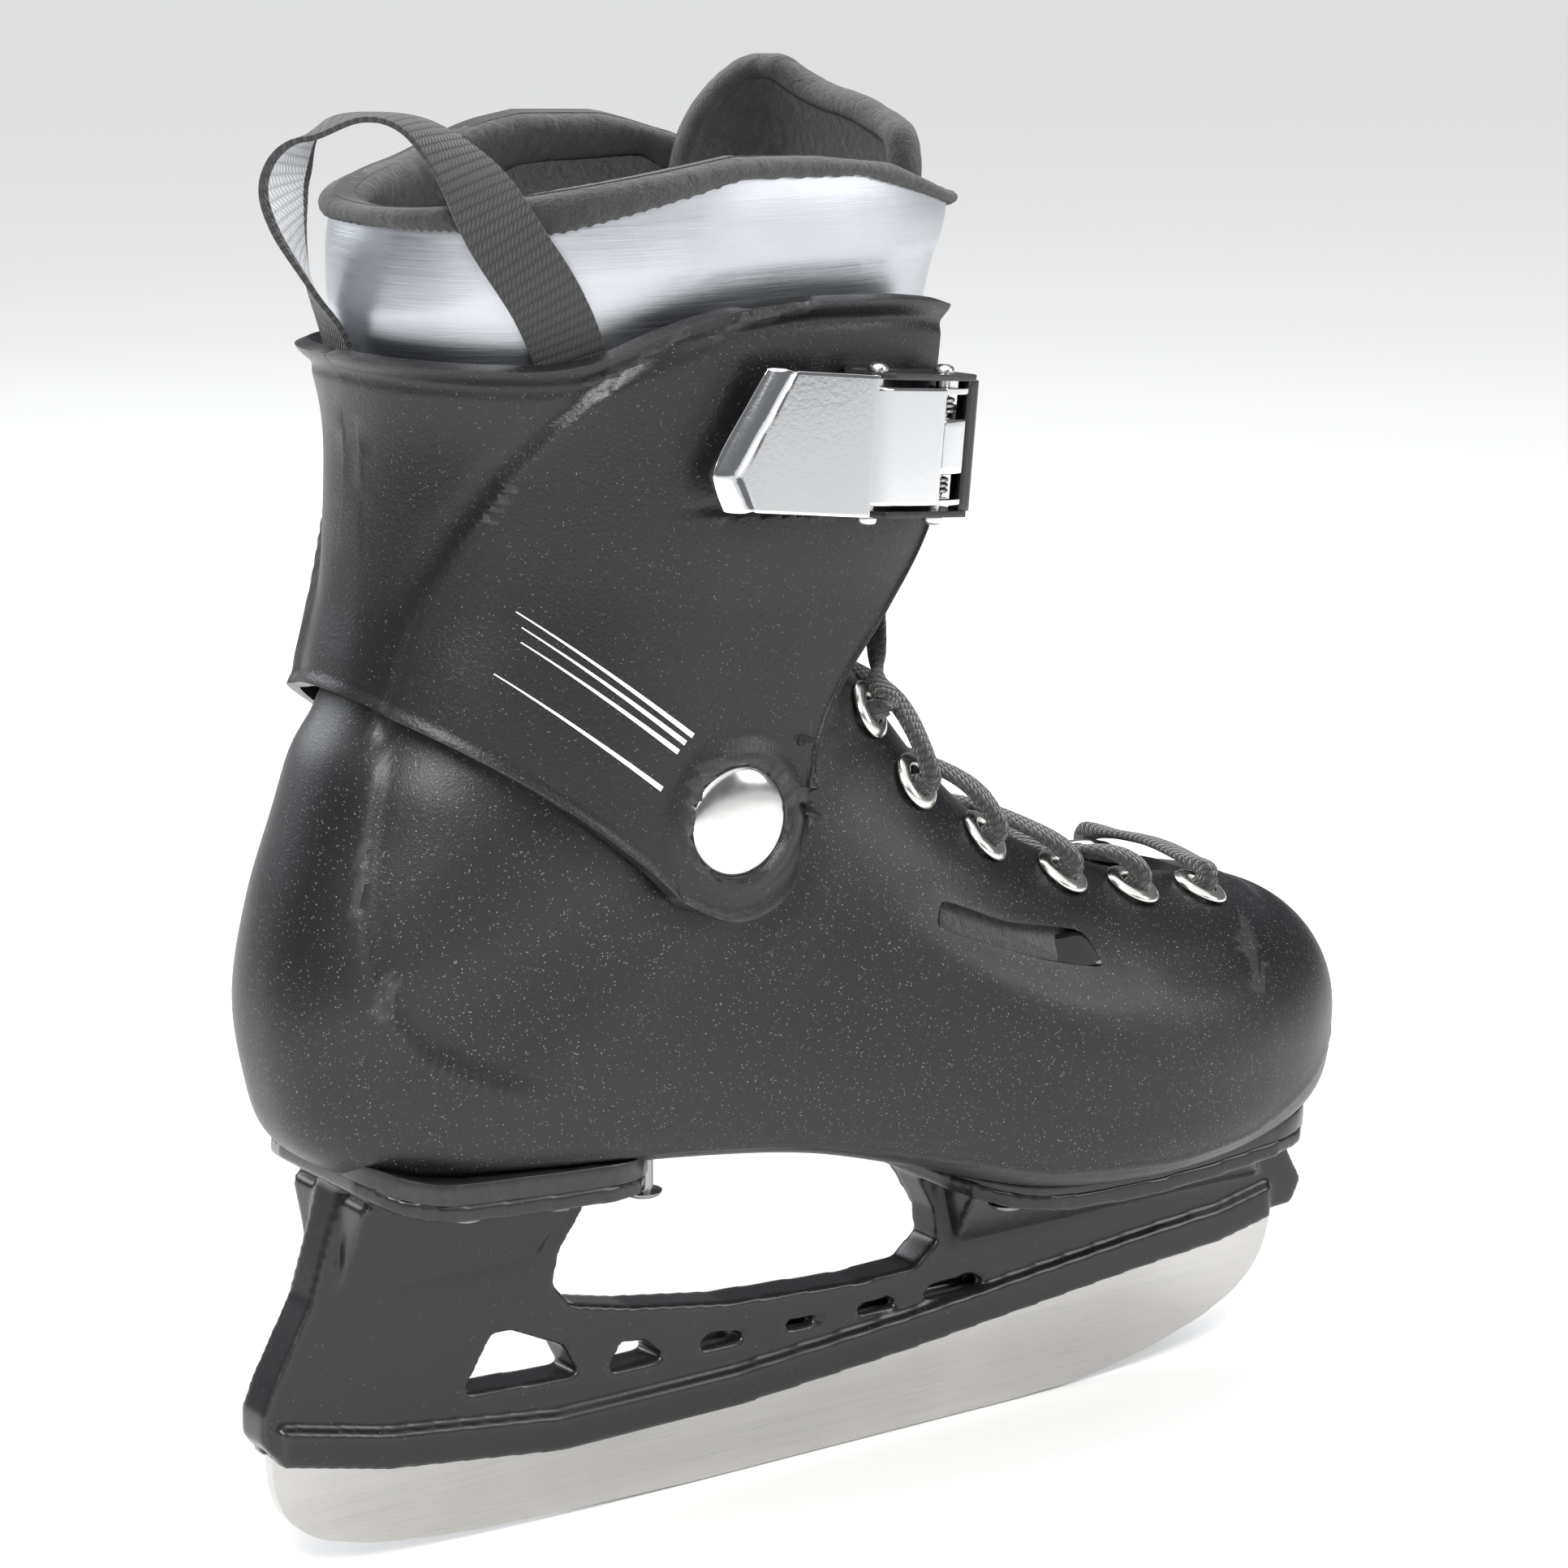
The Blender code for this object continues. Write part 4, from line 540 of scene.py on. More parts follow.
def make_pile():
    """Short matted fibres of a brushed fleece."""
    tree, given, out = shader_group(
        "fleece pile", [("Fibre size", "NodeSocketFloat", 1500)],
        [("Height", "NodeSocketFloat"), ("Tuft", "NodeSocketFloat")])
    place = node(tree, "ShaderNodeTexCoord").outputs["Object"]
    fibres = node(tree, "ShaderNodeTexNoise", [("Detail", 6), ("Roughness", 0.75), ("Distortion", 1.5)])
    tufts = node(tree, "ShaderNodeTexNoise", [("Scale", 260), ("Detail", 4), ("Distortion", 0.8)])
    tree.links.new(given.outputs["Fibre size"], fibres.inputs["Scale"])
    for texture in (fibres, tufts):
        tree.links.new(place, texture.inputs["Vector"])
    mixed = maths(tree, "ADD", maths(tree, "MULTIPLY", fibres.outputs["Fac"], 0.5), tufts.outputs["Fac"])
    tree.links.new(mixed, out.inputs["Height"])
    tree.links.new(maths(tree, "MULTIPLY", fibres.outputs["Fac"], tufts.outputs["Fac"]), out.inputs["Tuft"])
    return tree


def make_weave():
    """Over-and-under threads laid out on the piece's own map, which is in metres."""
    tree, given, out = shader_group(
        "woven threads",
        [("Across", "NodeSocketFloat", 2400), ("Along", "NodeSocketFloat", 2400), ("Slant", "NodeSocketFloat", 0)],
        [("Height", "NodeSocketFloat"), ("Thread", "NodeSocketFloat")])
    split = node(tree, "ShaderNodeSeparateXYZ")
    tree.links.new(node(tree, "ShaderNodeUVMap").outputs[0], split.inputs[0])
    slanted = maths(tree, "ADD", split.outputs[0], maths(tree, "MULTIPLY", split.outputs[1], given.outputs["Slant"]))
    across = maths(tree, "MULTIPLY", slanted, given.outputs["Across"])
    along = maths(tree, "MULTIPLY", split.outputs[1], given.outputs["Along"])
    row = maths(tree, "FLOOR", along)
    staggered = maths(tree, "ADD", across, maths(tree, "MULTIPLY", row, 0.5))
    bulge = maths(tree, "ABSOLUTE", maths(tree, "SINE", maths(tree, "MULTIPLY", staggered, math.pi)))
    rib = maths(tree, "ABSOLUTE", maths(tree, "SINE", maths(tree, "MULTIPLY", along, math.pi)))
    height = maths(tree, "MULTIPLY", maths(tree, "POWER", bulge, 0.6), maths(tree, "POWER", rib, 0.6))
    tree.links.new(height, out.inputs["Height"])
    tree.links.new(bulge, out.inputs["Thread"])
    return tree


MOULDED_GRAIN = make_moulded_grain()
EDGE_WEAR = make_edge_wear()
BRUSHED = make_brushed()
PILE = make_pile()
WEAVE = make_weave()


# ---------------------------------------------------------------- finishes
def start_material(name, roughness, metallic=0.0, **sockets):
    material = bpy.data.materials.new(name)
    material.use_nodes = True
    shader = material.node_tree.nodes["Principled BSDF"]
    shader.inputs["Roughness"].default_value = roughness
    shader.inputs["Metallic"].default_value = metallic
    for label, value in sockets.items():
        shader.inputs[label.replace("_", " ").title().replace("Ior", "IOR")].default_value = value
    return material, material.node_tree, shader


def use_group(tree, group, values=()):
    return node(tree, "ShaderNodeGroup", values, node_tree=group)


def mix_colours(tree, share, a, b):
    mix = tree.nodes.new("ShaderNodeMix")
    mix.data_type = "RGBA"
    for socket, value in ((mix.inputs[0], share), (mix.inputs[6], a), (mix.inputs[7], b)):
        if isinstance(value, tuple):
            socket.default_value = (*value, 1)
        elif isinstance(value, (int, float)):
            socket.default_value = value
        else:
            tree.links.new(value, socket)
    return mix.outputs[2]


def spread(tree, value, low, high):
    """A value from 0 to 1 spread between low and high."""
    made = tree.nodes.new("ShaderNodeMapRange")
    made.inputs["To Min"].default_value = low
    made.inputs["To Max"].default_value = high
    tree.links.new(value, made.inputs["Value"])
    return made.outputs[0]


def bump(tree, shader, height, distance, strength=1.0):
    made = tree.nodes.new("ShaderNodeBump")
    made.inputs["Strength"].default_value = strength
    made.inputs["Distance"].default_value = distance
    tree.links.new(height, made.inputs["Height"])
    tree.links.new(made.outputs[0], shader.inputs["Normal"])


def moulded_plastic(name, dark, pale, roughness, grain=1700.0, share=0.12, depth=0.00008, fleck=0.3, cloud=0.4):
    material, tree, shader = start_material(name, roughness, specular_ior_level=0.42)
    grains = use_group(tree, MOULDED_GRAIN, [("Grain size", grain), ("Fleck share", share)])
    worn = use_group(tree, EDGE_WEAR)
    body = mix_colours(tree, spread(tree, grains.outputs["Cloud"], 0.5 - cloud, 0.5 + cloud), dark, pale)
    body = mix_colours(tree, maths(tree, "MULTIPLY", worn.outputs["Mask"], 0.35), body, (0.11, 0.11, 0.115))
    flecked = mix_colours(tree, grains.outputs["Fleck"], body, (fleck, fleck, fleck * 1.03))
    tree.links.new(flecked, shader.inputs["Base Color"])
    rough = spread(tree, grains.outputs["Cloud"], roughness - 0.07, roughness + 0.07)
    tree.links.new(rough, shader.inputs["Roughness"])
    bump(tree, shader, grains.outputs["Height"], depth)
    return material


def metal(name, colour, dull, roughness, stretch, stain=30.0, depth=0.00002, streak=0.3):
    material, tree, shader = start_material(name, roughness, 1.0)
    lines = use_group(tree, BRUSHED, [("Stretch", stretch), ("Stain size", stain)])
    share = maths(tree, "MULTIPLY", maths(tree, "ADD", lines.outputs["Lines"], lines.outputs["Stain"]), 0.5)
    tree.links.new(mix_colours(tree, share, dull, colour), shader.inputs["Base Color"])
    rough = spread(tree, lines.outputs["Lines"], roughness * (1 - streak), roughness * (1 + streak))
    tree.links.new(rough, shader.inputs["Roughness"])
    bump(tree, shader, lines.outputs["Lines"], depth)
    return material


def cloth(name, dark, pale, across, along, slant=0.0, depth=0.0002, roughness=0.85, sheen=0.25):
    material, tree, shader = start_material(name, roughness, sheen_weight=sheen, sheen_roughness=0.45)
    threads = use_group(tree, WEAVE, [("Across", across), ("Along", along), ("Slant", slant)])
    tree.links.new(mix_colours(tree, threads.outputs["Height"], dark, pale), shader.inputs["Base Color"])
    bump(tree, shader, threads.outputs["Height"], depth)
    return material


def fleece_cloth(name, dark, pale):
    material, tree, shader = start_material(name, 0.95, sheen_weight=0.35, sheen_roughness=0.5)
    pile = use_group(tree, PILE)
    tree.links.new(mix_colours(tree, spread(tree, pile.outputs["Tuft"], -0.6, 2.2), dark, pale),
                   shader.inputs["Base Color"])
    bump(tree, shader, pile.outputs["Height"], 0.0009)
    return material


SHELL_PLASTIC = moulded_plastic("flecked shell plastic", (0.003, 0.003, 0.0035), (0.007, 0.007, 0.008), 0.40,
                                share=0.10, fleck=0.16)
CUFF_PLASTIC = moulded_plastic("grained cuff plastic", (0.003, 0.003, 0.0035), (0.007, 0.007, 0.008), 0.37,
                               grain=1150.0, share=0.05, depth=0.00013, fleck=0.10)
HOLDER_PLASTIC = moulded_plastic("holder plastic", (0.006, 0.006, 0.007), (0.012, 0.012, 0.013), 0.27,
                                 grain=900.0, share=0.01, depth=0.00002, fleck=0.08)
BUCKLE_NYLON = moulded_plastic("buckle nylon", (0.006, 0.006, 0.006), (0.010, 0.010, 0.010), 0.22,
                               grain=1500.0, share=0.02, depth=0.00002, fleck=0.08)
GLOSS_PLASTIC = moulded_plastic("glossy vent end", (0.006, 0.006, 0.006), (0.010, 0.010, 0.010), 0.12,
                                grain=600.0, share=0.0, depth=0.00001, fleck=0.05)
FOOTBED_BOARD = moulded_plastic("footbed board", (0.030, 0.030, 0.031), (0.045, 0.045, 0.046), 0.85,
                                grain=700.0, share=0.2, depth=0.0002, fleck=0.12)
RUNNER_STEEL = metal("ground runner steel", (0.60, 0.59, 0.57), (0.34, 0.335, 0.33), 0.30, (30, 4000, 2600), 22.0)
NICKEL = metal("nickel eyelets", (0.86, 0.84, 0.80), (0.60, 0.585, 0.56), 0.24, (700, 700, 700), 200.0, 0.00001)
CHROME = metal("chromed lever", (0.90, 0.905, 0.915), (0.80, 0.81, 0.825), 0.085, (900, 900, 900), 60.0, 0.00001)
CAP_CHROME = metal("pivot cap chrome", (0.80, 0.79, 0.78), (0.46, 0.455, 0.45), 0.17, (260, 260, 260), 90.0, 0.00001)
DARK_STEEL = metal("dark steel", (0.42, 0.41, 0.40), (0.22, 0.22, 0.22), 0.32, (900, 900, 900), 200.0, 0.00001)
SILVER_FABRIC = metal("silver collar fabric", (0.62, 0.64, 0.67), (0.36, 0.375, 0.40), 0.40, (60, 60, 2600), 55.0,
                      0.00004)
FLEECE = fleece_cloth("black fleece", (0.004, 0.004, 0.005), (0.030, 0.028, 0.031))
KNIT = cloth("liner knit", (0.004, 0.004, 0.005), (0.035, 0.036, 0.040), 1100, 1300, depth=0.0002)
VENT_CLOTH = fleece_cloth("vent cloth", (0.003, 0.003, 0.004), (0.020, 0.020, 0.022))
CANVAS = cloth("tongue canvas", (0.006, 0.006, 0.007), (0.040, 0.040, 0.044), 1100, 1350, 0.25, 0.0002)
WEBBING = cloth("loop webbing", (0.004, 0.004, 0.004), (0.030, 0.030, 0.031), 900, 420, 0.7, 0.0003, 0.7)
WEBBING_PALE = cloth("loop webbing reverse", (0.36, 0.37, 0.40), (0.66, 0.67, 0.70), 900, 420, 0.7, 0.0002, 0.6)
LACE = cloth("braided lace", (0.003, 0.003, 0.004), (0.034, 0.034, 0.036), 640, 520, 0.9, 0.0006, 0.8, 0.35)


def make_print():
    material, tree, shader = start_material("white print", 0.42)
    grains = use_group(tree, MOULDED_GRAIN, [("Grain size", 1150.0), ("Fleck share", 0.0)])
    tree.links.new(mix_colours(tree, grains.outputs["Height"], (0.62, 0.62, 0.63), (0.92, 0.92, 0.93)),
                   shader.inputs["Base Color"])
    bump(tree, shader, grains.outputs["Height"], 0.00008)
    return material


WHITE_PRINT = make_print()


# ---------------------------------------------------------------- making pieces
def link_new(name, data):
    made = bpy.data.objects.new(name, data)
    bpy.context.scene.collection.objects.link(made)
    return made


def add_piece(name, mesh, *materials):
    piece = link_new(name, mesh)
    mesh.materials.clear()
    for material in materials:
        mesh.materials.append(material)
    return piece


def only(piece):
    bpy.ops.object.select_all(action="DESELECT")
    piece.select_set(True)
    bpy.context.view_layer.objects.active = piece


def apply_all(piece):
    only(piece)
    for modifier in list(piece.modifiers):
        bpy.ops.object.modifier_apply(modifier=modifier.name)


def settle(piece, body, slot, *replaced, angle=38):
    """Shades a finished piece, with its place in its mesh, and hands it to its body."""
    only(piece)
    bpy.ops.object.transform_apply(location=True, rotation=True, scale=True)
    bpy.ops.object.shade_smooth_by_angle(angle=math.radians(angle))
    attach(piece, body)
    if replaced:
        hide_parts(*replaced)
    bpy.ops.object.select_all(action="DESELECT")
    return piece


def round_edges(piece, width, segments=3, angle=32):
    edge = piece.modifiers.new("rounding", "BEVEL")
    edge.width = width
    edge.segments = segments
    edge.limit_method = "ANGLE"
    edge.angle_limit = math.radians(angle)
    edge.harden_normals = False


def metre_map(grid):
    """Map coordinates in metres for a grid of points."""
    along_rows = np.linalg.norm(np.diff(grid, axis=0), axis=-1).mean(1)
    along_columns = np.linalg.norm(np.diff(grid, axis=1), axis=-1).mean(0)
    v = np.concatenate([[0], np.cumsum(along_rows)])
    u = np.concatenate([[0], np.cumsum(along_columns)])
    return np.stack(np.broadcast_arrays(u[None, :], v[:, None]), -1)


def grid_mesh(name, grid, closed=False, flip=False):
    """A mesh over a grid of points, with its map in metres."""
    rows, columns = grid.shape[:2]
    spans = columns if closed else columns - 1
    r, c = np.meshgrid(np.arange(rows - 1), np.arange(spans), indexing="ij")
    d = (c + 1) % columns
    quads = np.stack([r * columns + c, r * columns + d, (r + 1) * columns + d, (r + 1) * columns + c], -1)
    if flip:
        quads = quads[..., ::-1]
    mesh = bpy.data.meshes.new(name)
    mesh.from_pydata(grid.reshape(-1, 3).tolist(), [], quads.reshape(-1, 4).tolist())
    around = np.concatenate([grid, grid[:, :1]], 1) if closed else grid
    places = metre_map(around)
    corners = [(r, c), (r, c + 1), (r + 1, c + 1), (r + 1, c)]
    if flip:
        corners = corners[::-1]
    uv = np.stack([places[a, b] for a, b in corners], 2)
    layer = mesh.uv_layers.new(name="UVMap")
    layer.data.foreach_set("uv", uv.reshape(-1).astype(np.float32))
    return mesh


def grid_normals(grid, closed=False):
    if closed:
        wrapped = np.concatenate([grid[:, -1:], grid, grid[:, :1]], 1)
        across = (wrapped[:, 2:] - wrapped[:, :-2]) / 2
    else:
        across = np.gradient(grid, axis=1)
    normal = np.cross(across, np.gradient(grid, axis=0))
    return normal / np.maximum(np.linalg.norm(normal, axis=-1, keepdims=True), 1e-12)


def skin(name, grid, wall, *materials, flip=False, rim=0.0, offset=-1.0, inside=0):
    """A walled surface from a grid of points on its outer side."""
    mesh = grid_mesh(name, grid, flip=flip)
    work = bmesh.new()
    work.from_mesh(mesh)
    bmesh.ops.remove_doubles(work, verts=work.verts, dist=0.005 * MM)
    bmesh.ops.dissolve_degenerate(work, edges=work.edges, dist=0.003 * MM)
    work.to_mesh(mesh)
    work.free()
    piece = add_piece(name, mesh, *materials)
    solid = piece.modifiers.new("wall", "SOLIDIFY")
    solid.thickness = wall
    solid.offset = offset
    solid.material_offset = inside
    if rim:
        round_edges(piece, rim)
    return piece


def closed_sweep(name, rings, *materials):
    """A closed tube through rings of points, with filled ends."""
    mesh = grid_mesh(name, rings, closed=True)
    work = bmesh.new()
    work.from_mesh(mesh)
    work.verts.ensure_lookup_table()
    count = rings.shape[1]
    work.faces.new([work.verts[i] for i in range(count)])
    work.faces.new([work.verts[len(work.verts) - 1 - i] for i in range(count)])
    bmesh.ops.recalc_face_normals(work, faces=work.faces)
    work.to_mesh(mesh)
    work.free()
    return add_piece(name, mesh, *materials)


def sweep(name, points, outward, section, *materials):
    """A tube along points; section gives for each point its outline as (across, outwards) pairs."""
    points, outward = np.asarray(points), np.asarray(outward)
    ahead = np.gradient(points, axis=0)
    ahead /= np.linalg.norm(ahead, axis=1, keepdims=True)
    outward = outward - (outward * ahead).sum(1, keepdims=True) * ahead
    outward /= np.linalg.norm(outward, axis=1, keepdims=True)
    across = np.cross(ahead, outward)
    rings = points[:, None] + section[..., :1] * across[:, None] + section[..., 1:] * outward[:, None]
    return closed_sweep(name, rings, *materials)


def flat_oval(half_width, half_thickness, count=14, squareness=3.0):
    """Outlines (across, outwards) of a flat band with rounded edges, one for each half width given."""
    a = np.linspace(0, 2 * math.pi, count, endpoint=False)
    power = 2 / squareness
    c = np.sign(np.cos(a)) * np.abs(np.cos(a)) ** power
    s = np.sign(np.sin(a)) * np.abs(np.sin(a)) ** power
    half_width, half_thickness = np.broadcast_arrays(np.atleast_1d(half_width), np.atleast_1d(half_thickness))
    return np.stack([half_width[:, None] * c, half_thickness[:, None] * s], -1)


def facing(position, direction, turn=Vector((0, 0, 1))):
    """A placement with local Z along direction."""
    z = Vector(direction).normalized()
    x = Vector(turn).cross(z)
    x = x.normalized() if x.length > 1e-6 else Vector((1, 0, 0))
    y = z.cross(x)
    matrix = Matrix((x, y, z)).transposed().to_4x4()
    matrix.translation = Vector(position)
    return matrix


def carried(place, local):
    """Points given in a placement's own axes."""
    return local @ np.array(place.to_3x3()).T + np.array(place.translation)


def lathe(name, profile, material, steps=40, rounding=0.0):
    """A round piece drawn up from a circle: each step of the (radius, height) profile is an extrusion, then scaled."""
    tiny = 0.004 * MM
    profile = [(max(r, tiny), z) for r, z in profile]
    bpy.ops.object.select_all(action="DESELECT")
    bpy.ops.mesh.primitive_circle_add(vertices=steps, radius=profile[0][0], location=(0, 0, profile[0][1]))
    piece = bpy.context.active_object
    piece.name = piece.data.name = name
    bpy.ops.object.transform_apply(location=True)
    bpy.ops.object.mode_set(mode="EDIT")
    for (r_old, z_old), (r, z) in zip(profile[:-1], profile[1:]):
        bpy.ops.mesh.extrude_region_move(TRANSFORM_OT_translate={"value": (0, 0, z - z_old)})
        bpy.ops.transform.resize(value=(r / r_old, r / r_old, 1))
    bpy.ops.mesh.select_all(action="SELECT")
    bpy.ops.mesh.remove_doubles(threshold=tiny * 2.2)
    bpy.ops.mesh.normals_make_consistent(inside=False)
    bpy.ops.object.mode_set(mode="OBJECT")
    piece.data.materials.append(material)
    if rounding:
        round_edges(piece, rounding, 3, 28)
        apply_all(piece)
    return piece


def copy_at(piece, name, place):
    twin = link_new(name, piece.data.copy())
    twin.data.transform(place)
    return twin


def cut_slab(name, outline, half, material, rounding=0.3 * MM):
    """A flat piece cut to an outline of (x, z) points, half as thick each way along Y, with rounded edges."""
    bpy.ops.object.select_all(action="DESELECT")
    bpy.ops.mesh.primitive_circle_add(vertices=len(outline), radius=0.01, fill_type="NGON")
    piece = bpy.context.active_object
    piece.name = piece.data.name = name
    for vertex, (x, z) in zip(piece.data.vertices, outline):
        vertex.co = (x, -half, z)
    bpy.ops.object.mode_set(mode="EDIT")
    bpy.ops.mesh.select_all(action="SELECT")
    bpy.ops.mesh.extrude_region_move(TRANSFORM_OT_translate={"value": (0, 2 * half, 0)})
    bpy.ops.mesh.select_all(action="SELECT")
    bpy.ops.mesh.normals_make_consistent(inside=False)
    bpy.ops.object.mode_set(mode="OBJECT")
    piece.data.materials.append(material)
    if rounding:
        round_edges(piece, rounding, 3, 30)
        apply_all(piece)
    return piece


def join_pieces(first, *others):
    bpy.ops.object.select_all(action="DESELECT")
    for piece in (first, *others):
        piece.select_set(True)
    bpy.context.view_layer.objects.active = first
    bpy.ops.object.join()
    return first


def ramp(value, start, end):
    """0 before start and 1 after end, with a soft turn at both."""
    share = np.clip((value - start) / (end - start), 0, 1)
    return share * share * (3 - 2 * share)


def line_distance(points, line):
    """Signed distance of (a, b) points to a line of such points, positive on its left."""
    line = np.asarray(line, float)
    best, sign = np.full(points.shape[:-1], 1e9), np.ones(points.shape[:-1])
    share_along = np.zeros(points.shape[:-1])
    for k, (a, b) in enumerate(zip(line[:-1], line[1:])):
        edge = b - a
        u = np.clip(((points - a) @ edge) / (edge @ edge), 0, 1)
        offset = points - (a + u[..., None] * edge)
        distance = np.linalg.norm(offset, axis=-1)
        side = np.where(edge[0] * offset[..., 1] - edge[1] * offset[..., 0] >= 0, 1.0, -1.0)
        closer = distance < best
        sign = np.where(closer, side, sign)
        share_along = np.where(closer, (k + u) / (len(line) - 1), share_along)
        best = np.minimum(best, distance)
    return best * sign, share_along


def cutter_from(points_outline, half, middle):
    cutter = cut_slab("cutter", points_outline, half, SHELL_PLASTIC, 0)
    cutter.data.transform(Matrix.Translation((0, middle, 0)))
    return cutter


def drill(radius, reach, place, material, steps):
    """A round cutter along a placement's Z, reaching as far each way."""
    hole = lathe("hole", [(0, reach), (radius, reach), (radius, -reach), (0, -reach)], material, steps)
    hole.data.transform(place)
    return hole


def carve_away(piece, *cutters):
    tool = join_pieces(*cutters) if len(cutters) > 1 else cutters[0]
    cut = piece.modifiers.new("openings", "BOOLEAN")
    cut.operation = "DIFFERENCE"
    cut.solver = "EXACT"
    cut.object = tool
    apply_all(piece)
    bpy.data.objects.remove(tool)


# ---------------------------------------------------------------- lower shell
HEEL_RIDGE = [(-102, 197.4), (-105.5, 186.5), (-108.3, 175), (-111, 163.8), (-111, 153), (-109, 142.4), (-101.6, 132.5),
              (-91.5, 126), (-75, 118.5), (-60, 114)]                      # side view (mm)
TOE_CREASE = [(158, 4), (156.5, -10), (153.5, -18), (146.4, -26.5), (136.9, -34.3), (127.9, -38.9), (118.5, -42.5),
              (108.3, -44.4), (97.6, -45.4), (84, -46.2)]                  # plan, outer side (mm)


LAST_STATION = len(BOOT) - 1


def shell_grid(rows=150, columns=190):
    """The shell's outer face as a fine grid, with its ridges and creases."""
    split = int(rows * 0.3)
    ts = np.concatenate([THROAT_START * np.linspace(0, 1, split) ** 1.25,
                         np.linspace(THROAT_START, LAST_STATION, rows - split)])
    shares = np.linspace(0, 1, columns)
    plain, stepped = [], []
    for t in ts:
        edge = throat_angle(t) if t >= THROAT_START else 0.0
        angles = edge + (2 * math.pi - 2 * edge) * shares
        plain.append(outer_form(np.full(columns, float(t)), angles))
        stepped.append(boot_face(np.full(columns, float(t)), angles))
    plain = np.array(plain)
    pulled = np.array(stepped) - plain
    for _ in range(5):
        pulled[1:-1] = (pulled[:-2] + 2 * pulled[1:-1] + pulled[2:]) / 4
        pulled[:, 1:-1] = (pulled[:, :-2] + 2 * pulled[:, 1:-1] + pulled[:, 2:]) / 4
    grid = plain + pulled
    normal = -grid_normals(grid)
    normal[0] = (1, 0, 0)
    x, y, z = (grid[..., k] / MM for k in range(3))
    side, along_ridge = line_distance(np.stack([x, z], -1), HEEL_RIDGE)
    fade = 1 - ramp(along_ridge, 0.72, 1.0)
    rear = ramp(-x, 55, 80)
    lift = 1.2 * ramp(-side, -0.8, 0.6) * fade * rear
    crease, along_crease = line_distance(np.stack([x, -np.abs(y - 3 * (y > 0))], -1), TOE_CREASE)
    upper = ramp(z, 100, 116)
    ends = (1 - ramp(along_crease, 0.75, 1.0))
    lift += 0.55 * (1 - ramp(np.abs(crease + 3.5), 0.0, 9.0)) * ends * upper
    lift -= 0.55 * (1 - ramp(np.abs(crease - 2.2), 0.0, 5.5)) * ends * upper
    sole_line = np.interp(x, [-125, -105, -66, -33, 1, 37, 62, 100, 126, 153, 172],
                          [112, 104, 99.5, 97.5, 93.5, 84, 77.8, 74.5, 76.5, 84, 92])
    lift += 0.35 * (1 - ramp(np.abs(z - sole_line), 0.2, 1.3)) * ramp(np.abs(y), 15, 30)
    around_vent = 1 - ramp(np.hypot((x - 57) / 34, (z - 137 + 0.42 * (x - 57)) / 12), 0.75, 1.15)
    lift -= 0.5 * around_vent * ramp(np.abs(y), 36, 42)
    return grid + normal * (lift * MM)[..., None]


def smooth_outline(points, count):
    """A closed rounded outline through the given corners."""
    corners = np.array(points, float)
    out = []
    for before, here, after in zip(np.roll(corners, 1, 0), corners, np.roll(corners, -1, 0)):
        a, b = here + (before - here) * 0.22, here + (after - here) * 0.22
        for u in np.linspace(0, 1, count):
            out.append(tuple((1 - u) ** 2 * a + 2 * u * (1 - u) * here + u * u * b))
    return out


def build_shell():
    shell = skin("shell_body", shell_grid(), SHELL_WALL, SHELL_PLASTIC, flip=True, rim=0.8 * MM)
    apply_all(shell)
    cutters = []
    for side in (-1, 1):
        outline = [(x * MM, z * MM) for x, z in smooth_outline(VENT_WINDOW, 4)]
        cutters.append(cutter_from(outline, 14 * MM, side * 44 * MM))
        for k in range(len(EYELETS)):
            spot, normal = eyelet_place(k, side)
            cutters.append(drill(EYELET_HOLE_R, 7 * MM, facing(spot, normal), SHELL_PLASTIC, 24))
    carve_away(shell, *cutters)
    return settle(shell, "boot", "shell_plastic", "lower_shell")


# ---------------------------------------------------------------- cuff
PANEL_STEP = [(-20.5, 292.8), (-31.2, 290.5), (-44.7, 286.3), (-51.2, 283.2), (-58, 279.6), (-64.6, 274.8),
              (-70.8, 269.3), (-75.6, 263.3), (-80.6, 257.5), (-84, 251.5), (-87.6, 245.5), (-90.6, 238.4),
              (-93.7, 231.3), (-96.4, 224.4), (-99.1, 216.4), (-102.9, 204)]
SLIT = [(-47.6, 249.1), (-34.5, 248.4), (-22.4, 247.6), (-3.6, 246.5), (17.4, 244.8), (32, 243.6)]
STRIPES = [((-79.3, 229.2), (-40.2, 198.2)), ((-78.4, 225.7), (-42.2, 196.8)), ((-78.8, 222.5), (-44.1, 195.0)),
           ((-84.4, 215.8), (-48.4, 187.1))]
BOSS_RISE = 1.5 * MM


def cuff_lift(points):
    """How far the cuff's panels, rims and boss stand out from its plain face (m)."""
    x, z = points[..., 0] / MM, points[..., 2] / MM
    flat = np.stack([x, z], -1)
    side, _ = line_distance(flat, PANEL_STEP)
    lift = 1.5 * ramp(side, -1.7, 0.5) - 0.4 * (1 - ramp(np.abs(side + 3.0), 0.0, 3.2))
    slit, along_slit = line_distance(flat, SLIT)
    opened = ramp(along_slit, 0.0, 0.55)
    raised = 1.9 * ramp(-slit, -0.2, 0.8) * (1 - ramp(-slit, 3, 24))
    lift += opened * (raised - 1.3 * (1 - ramp(np.abs(slit - 1.0), 0.4, 1.8)))
    away = np.hypot(x - PIVOT.x / MM, z - PIVOT.z / MM)
    lift += (BOSS_RISE / MM) * ramp(away, 13.1, 13.7) * (1 - ramp(away, 15.6, 20))
    lift -= 0.25 * (1 - ramp(away, 12.8, 13.4))
    return lift * MM


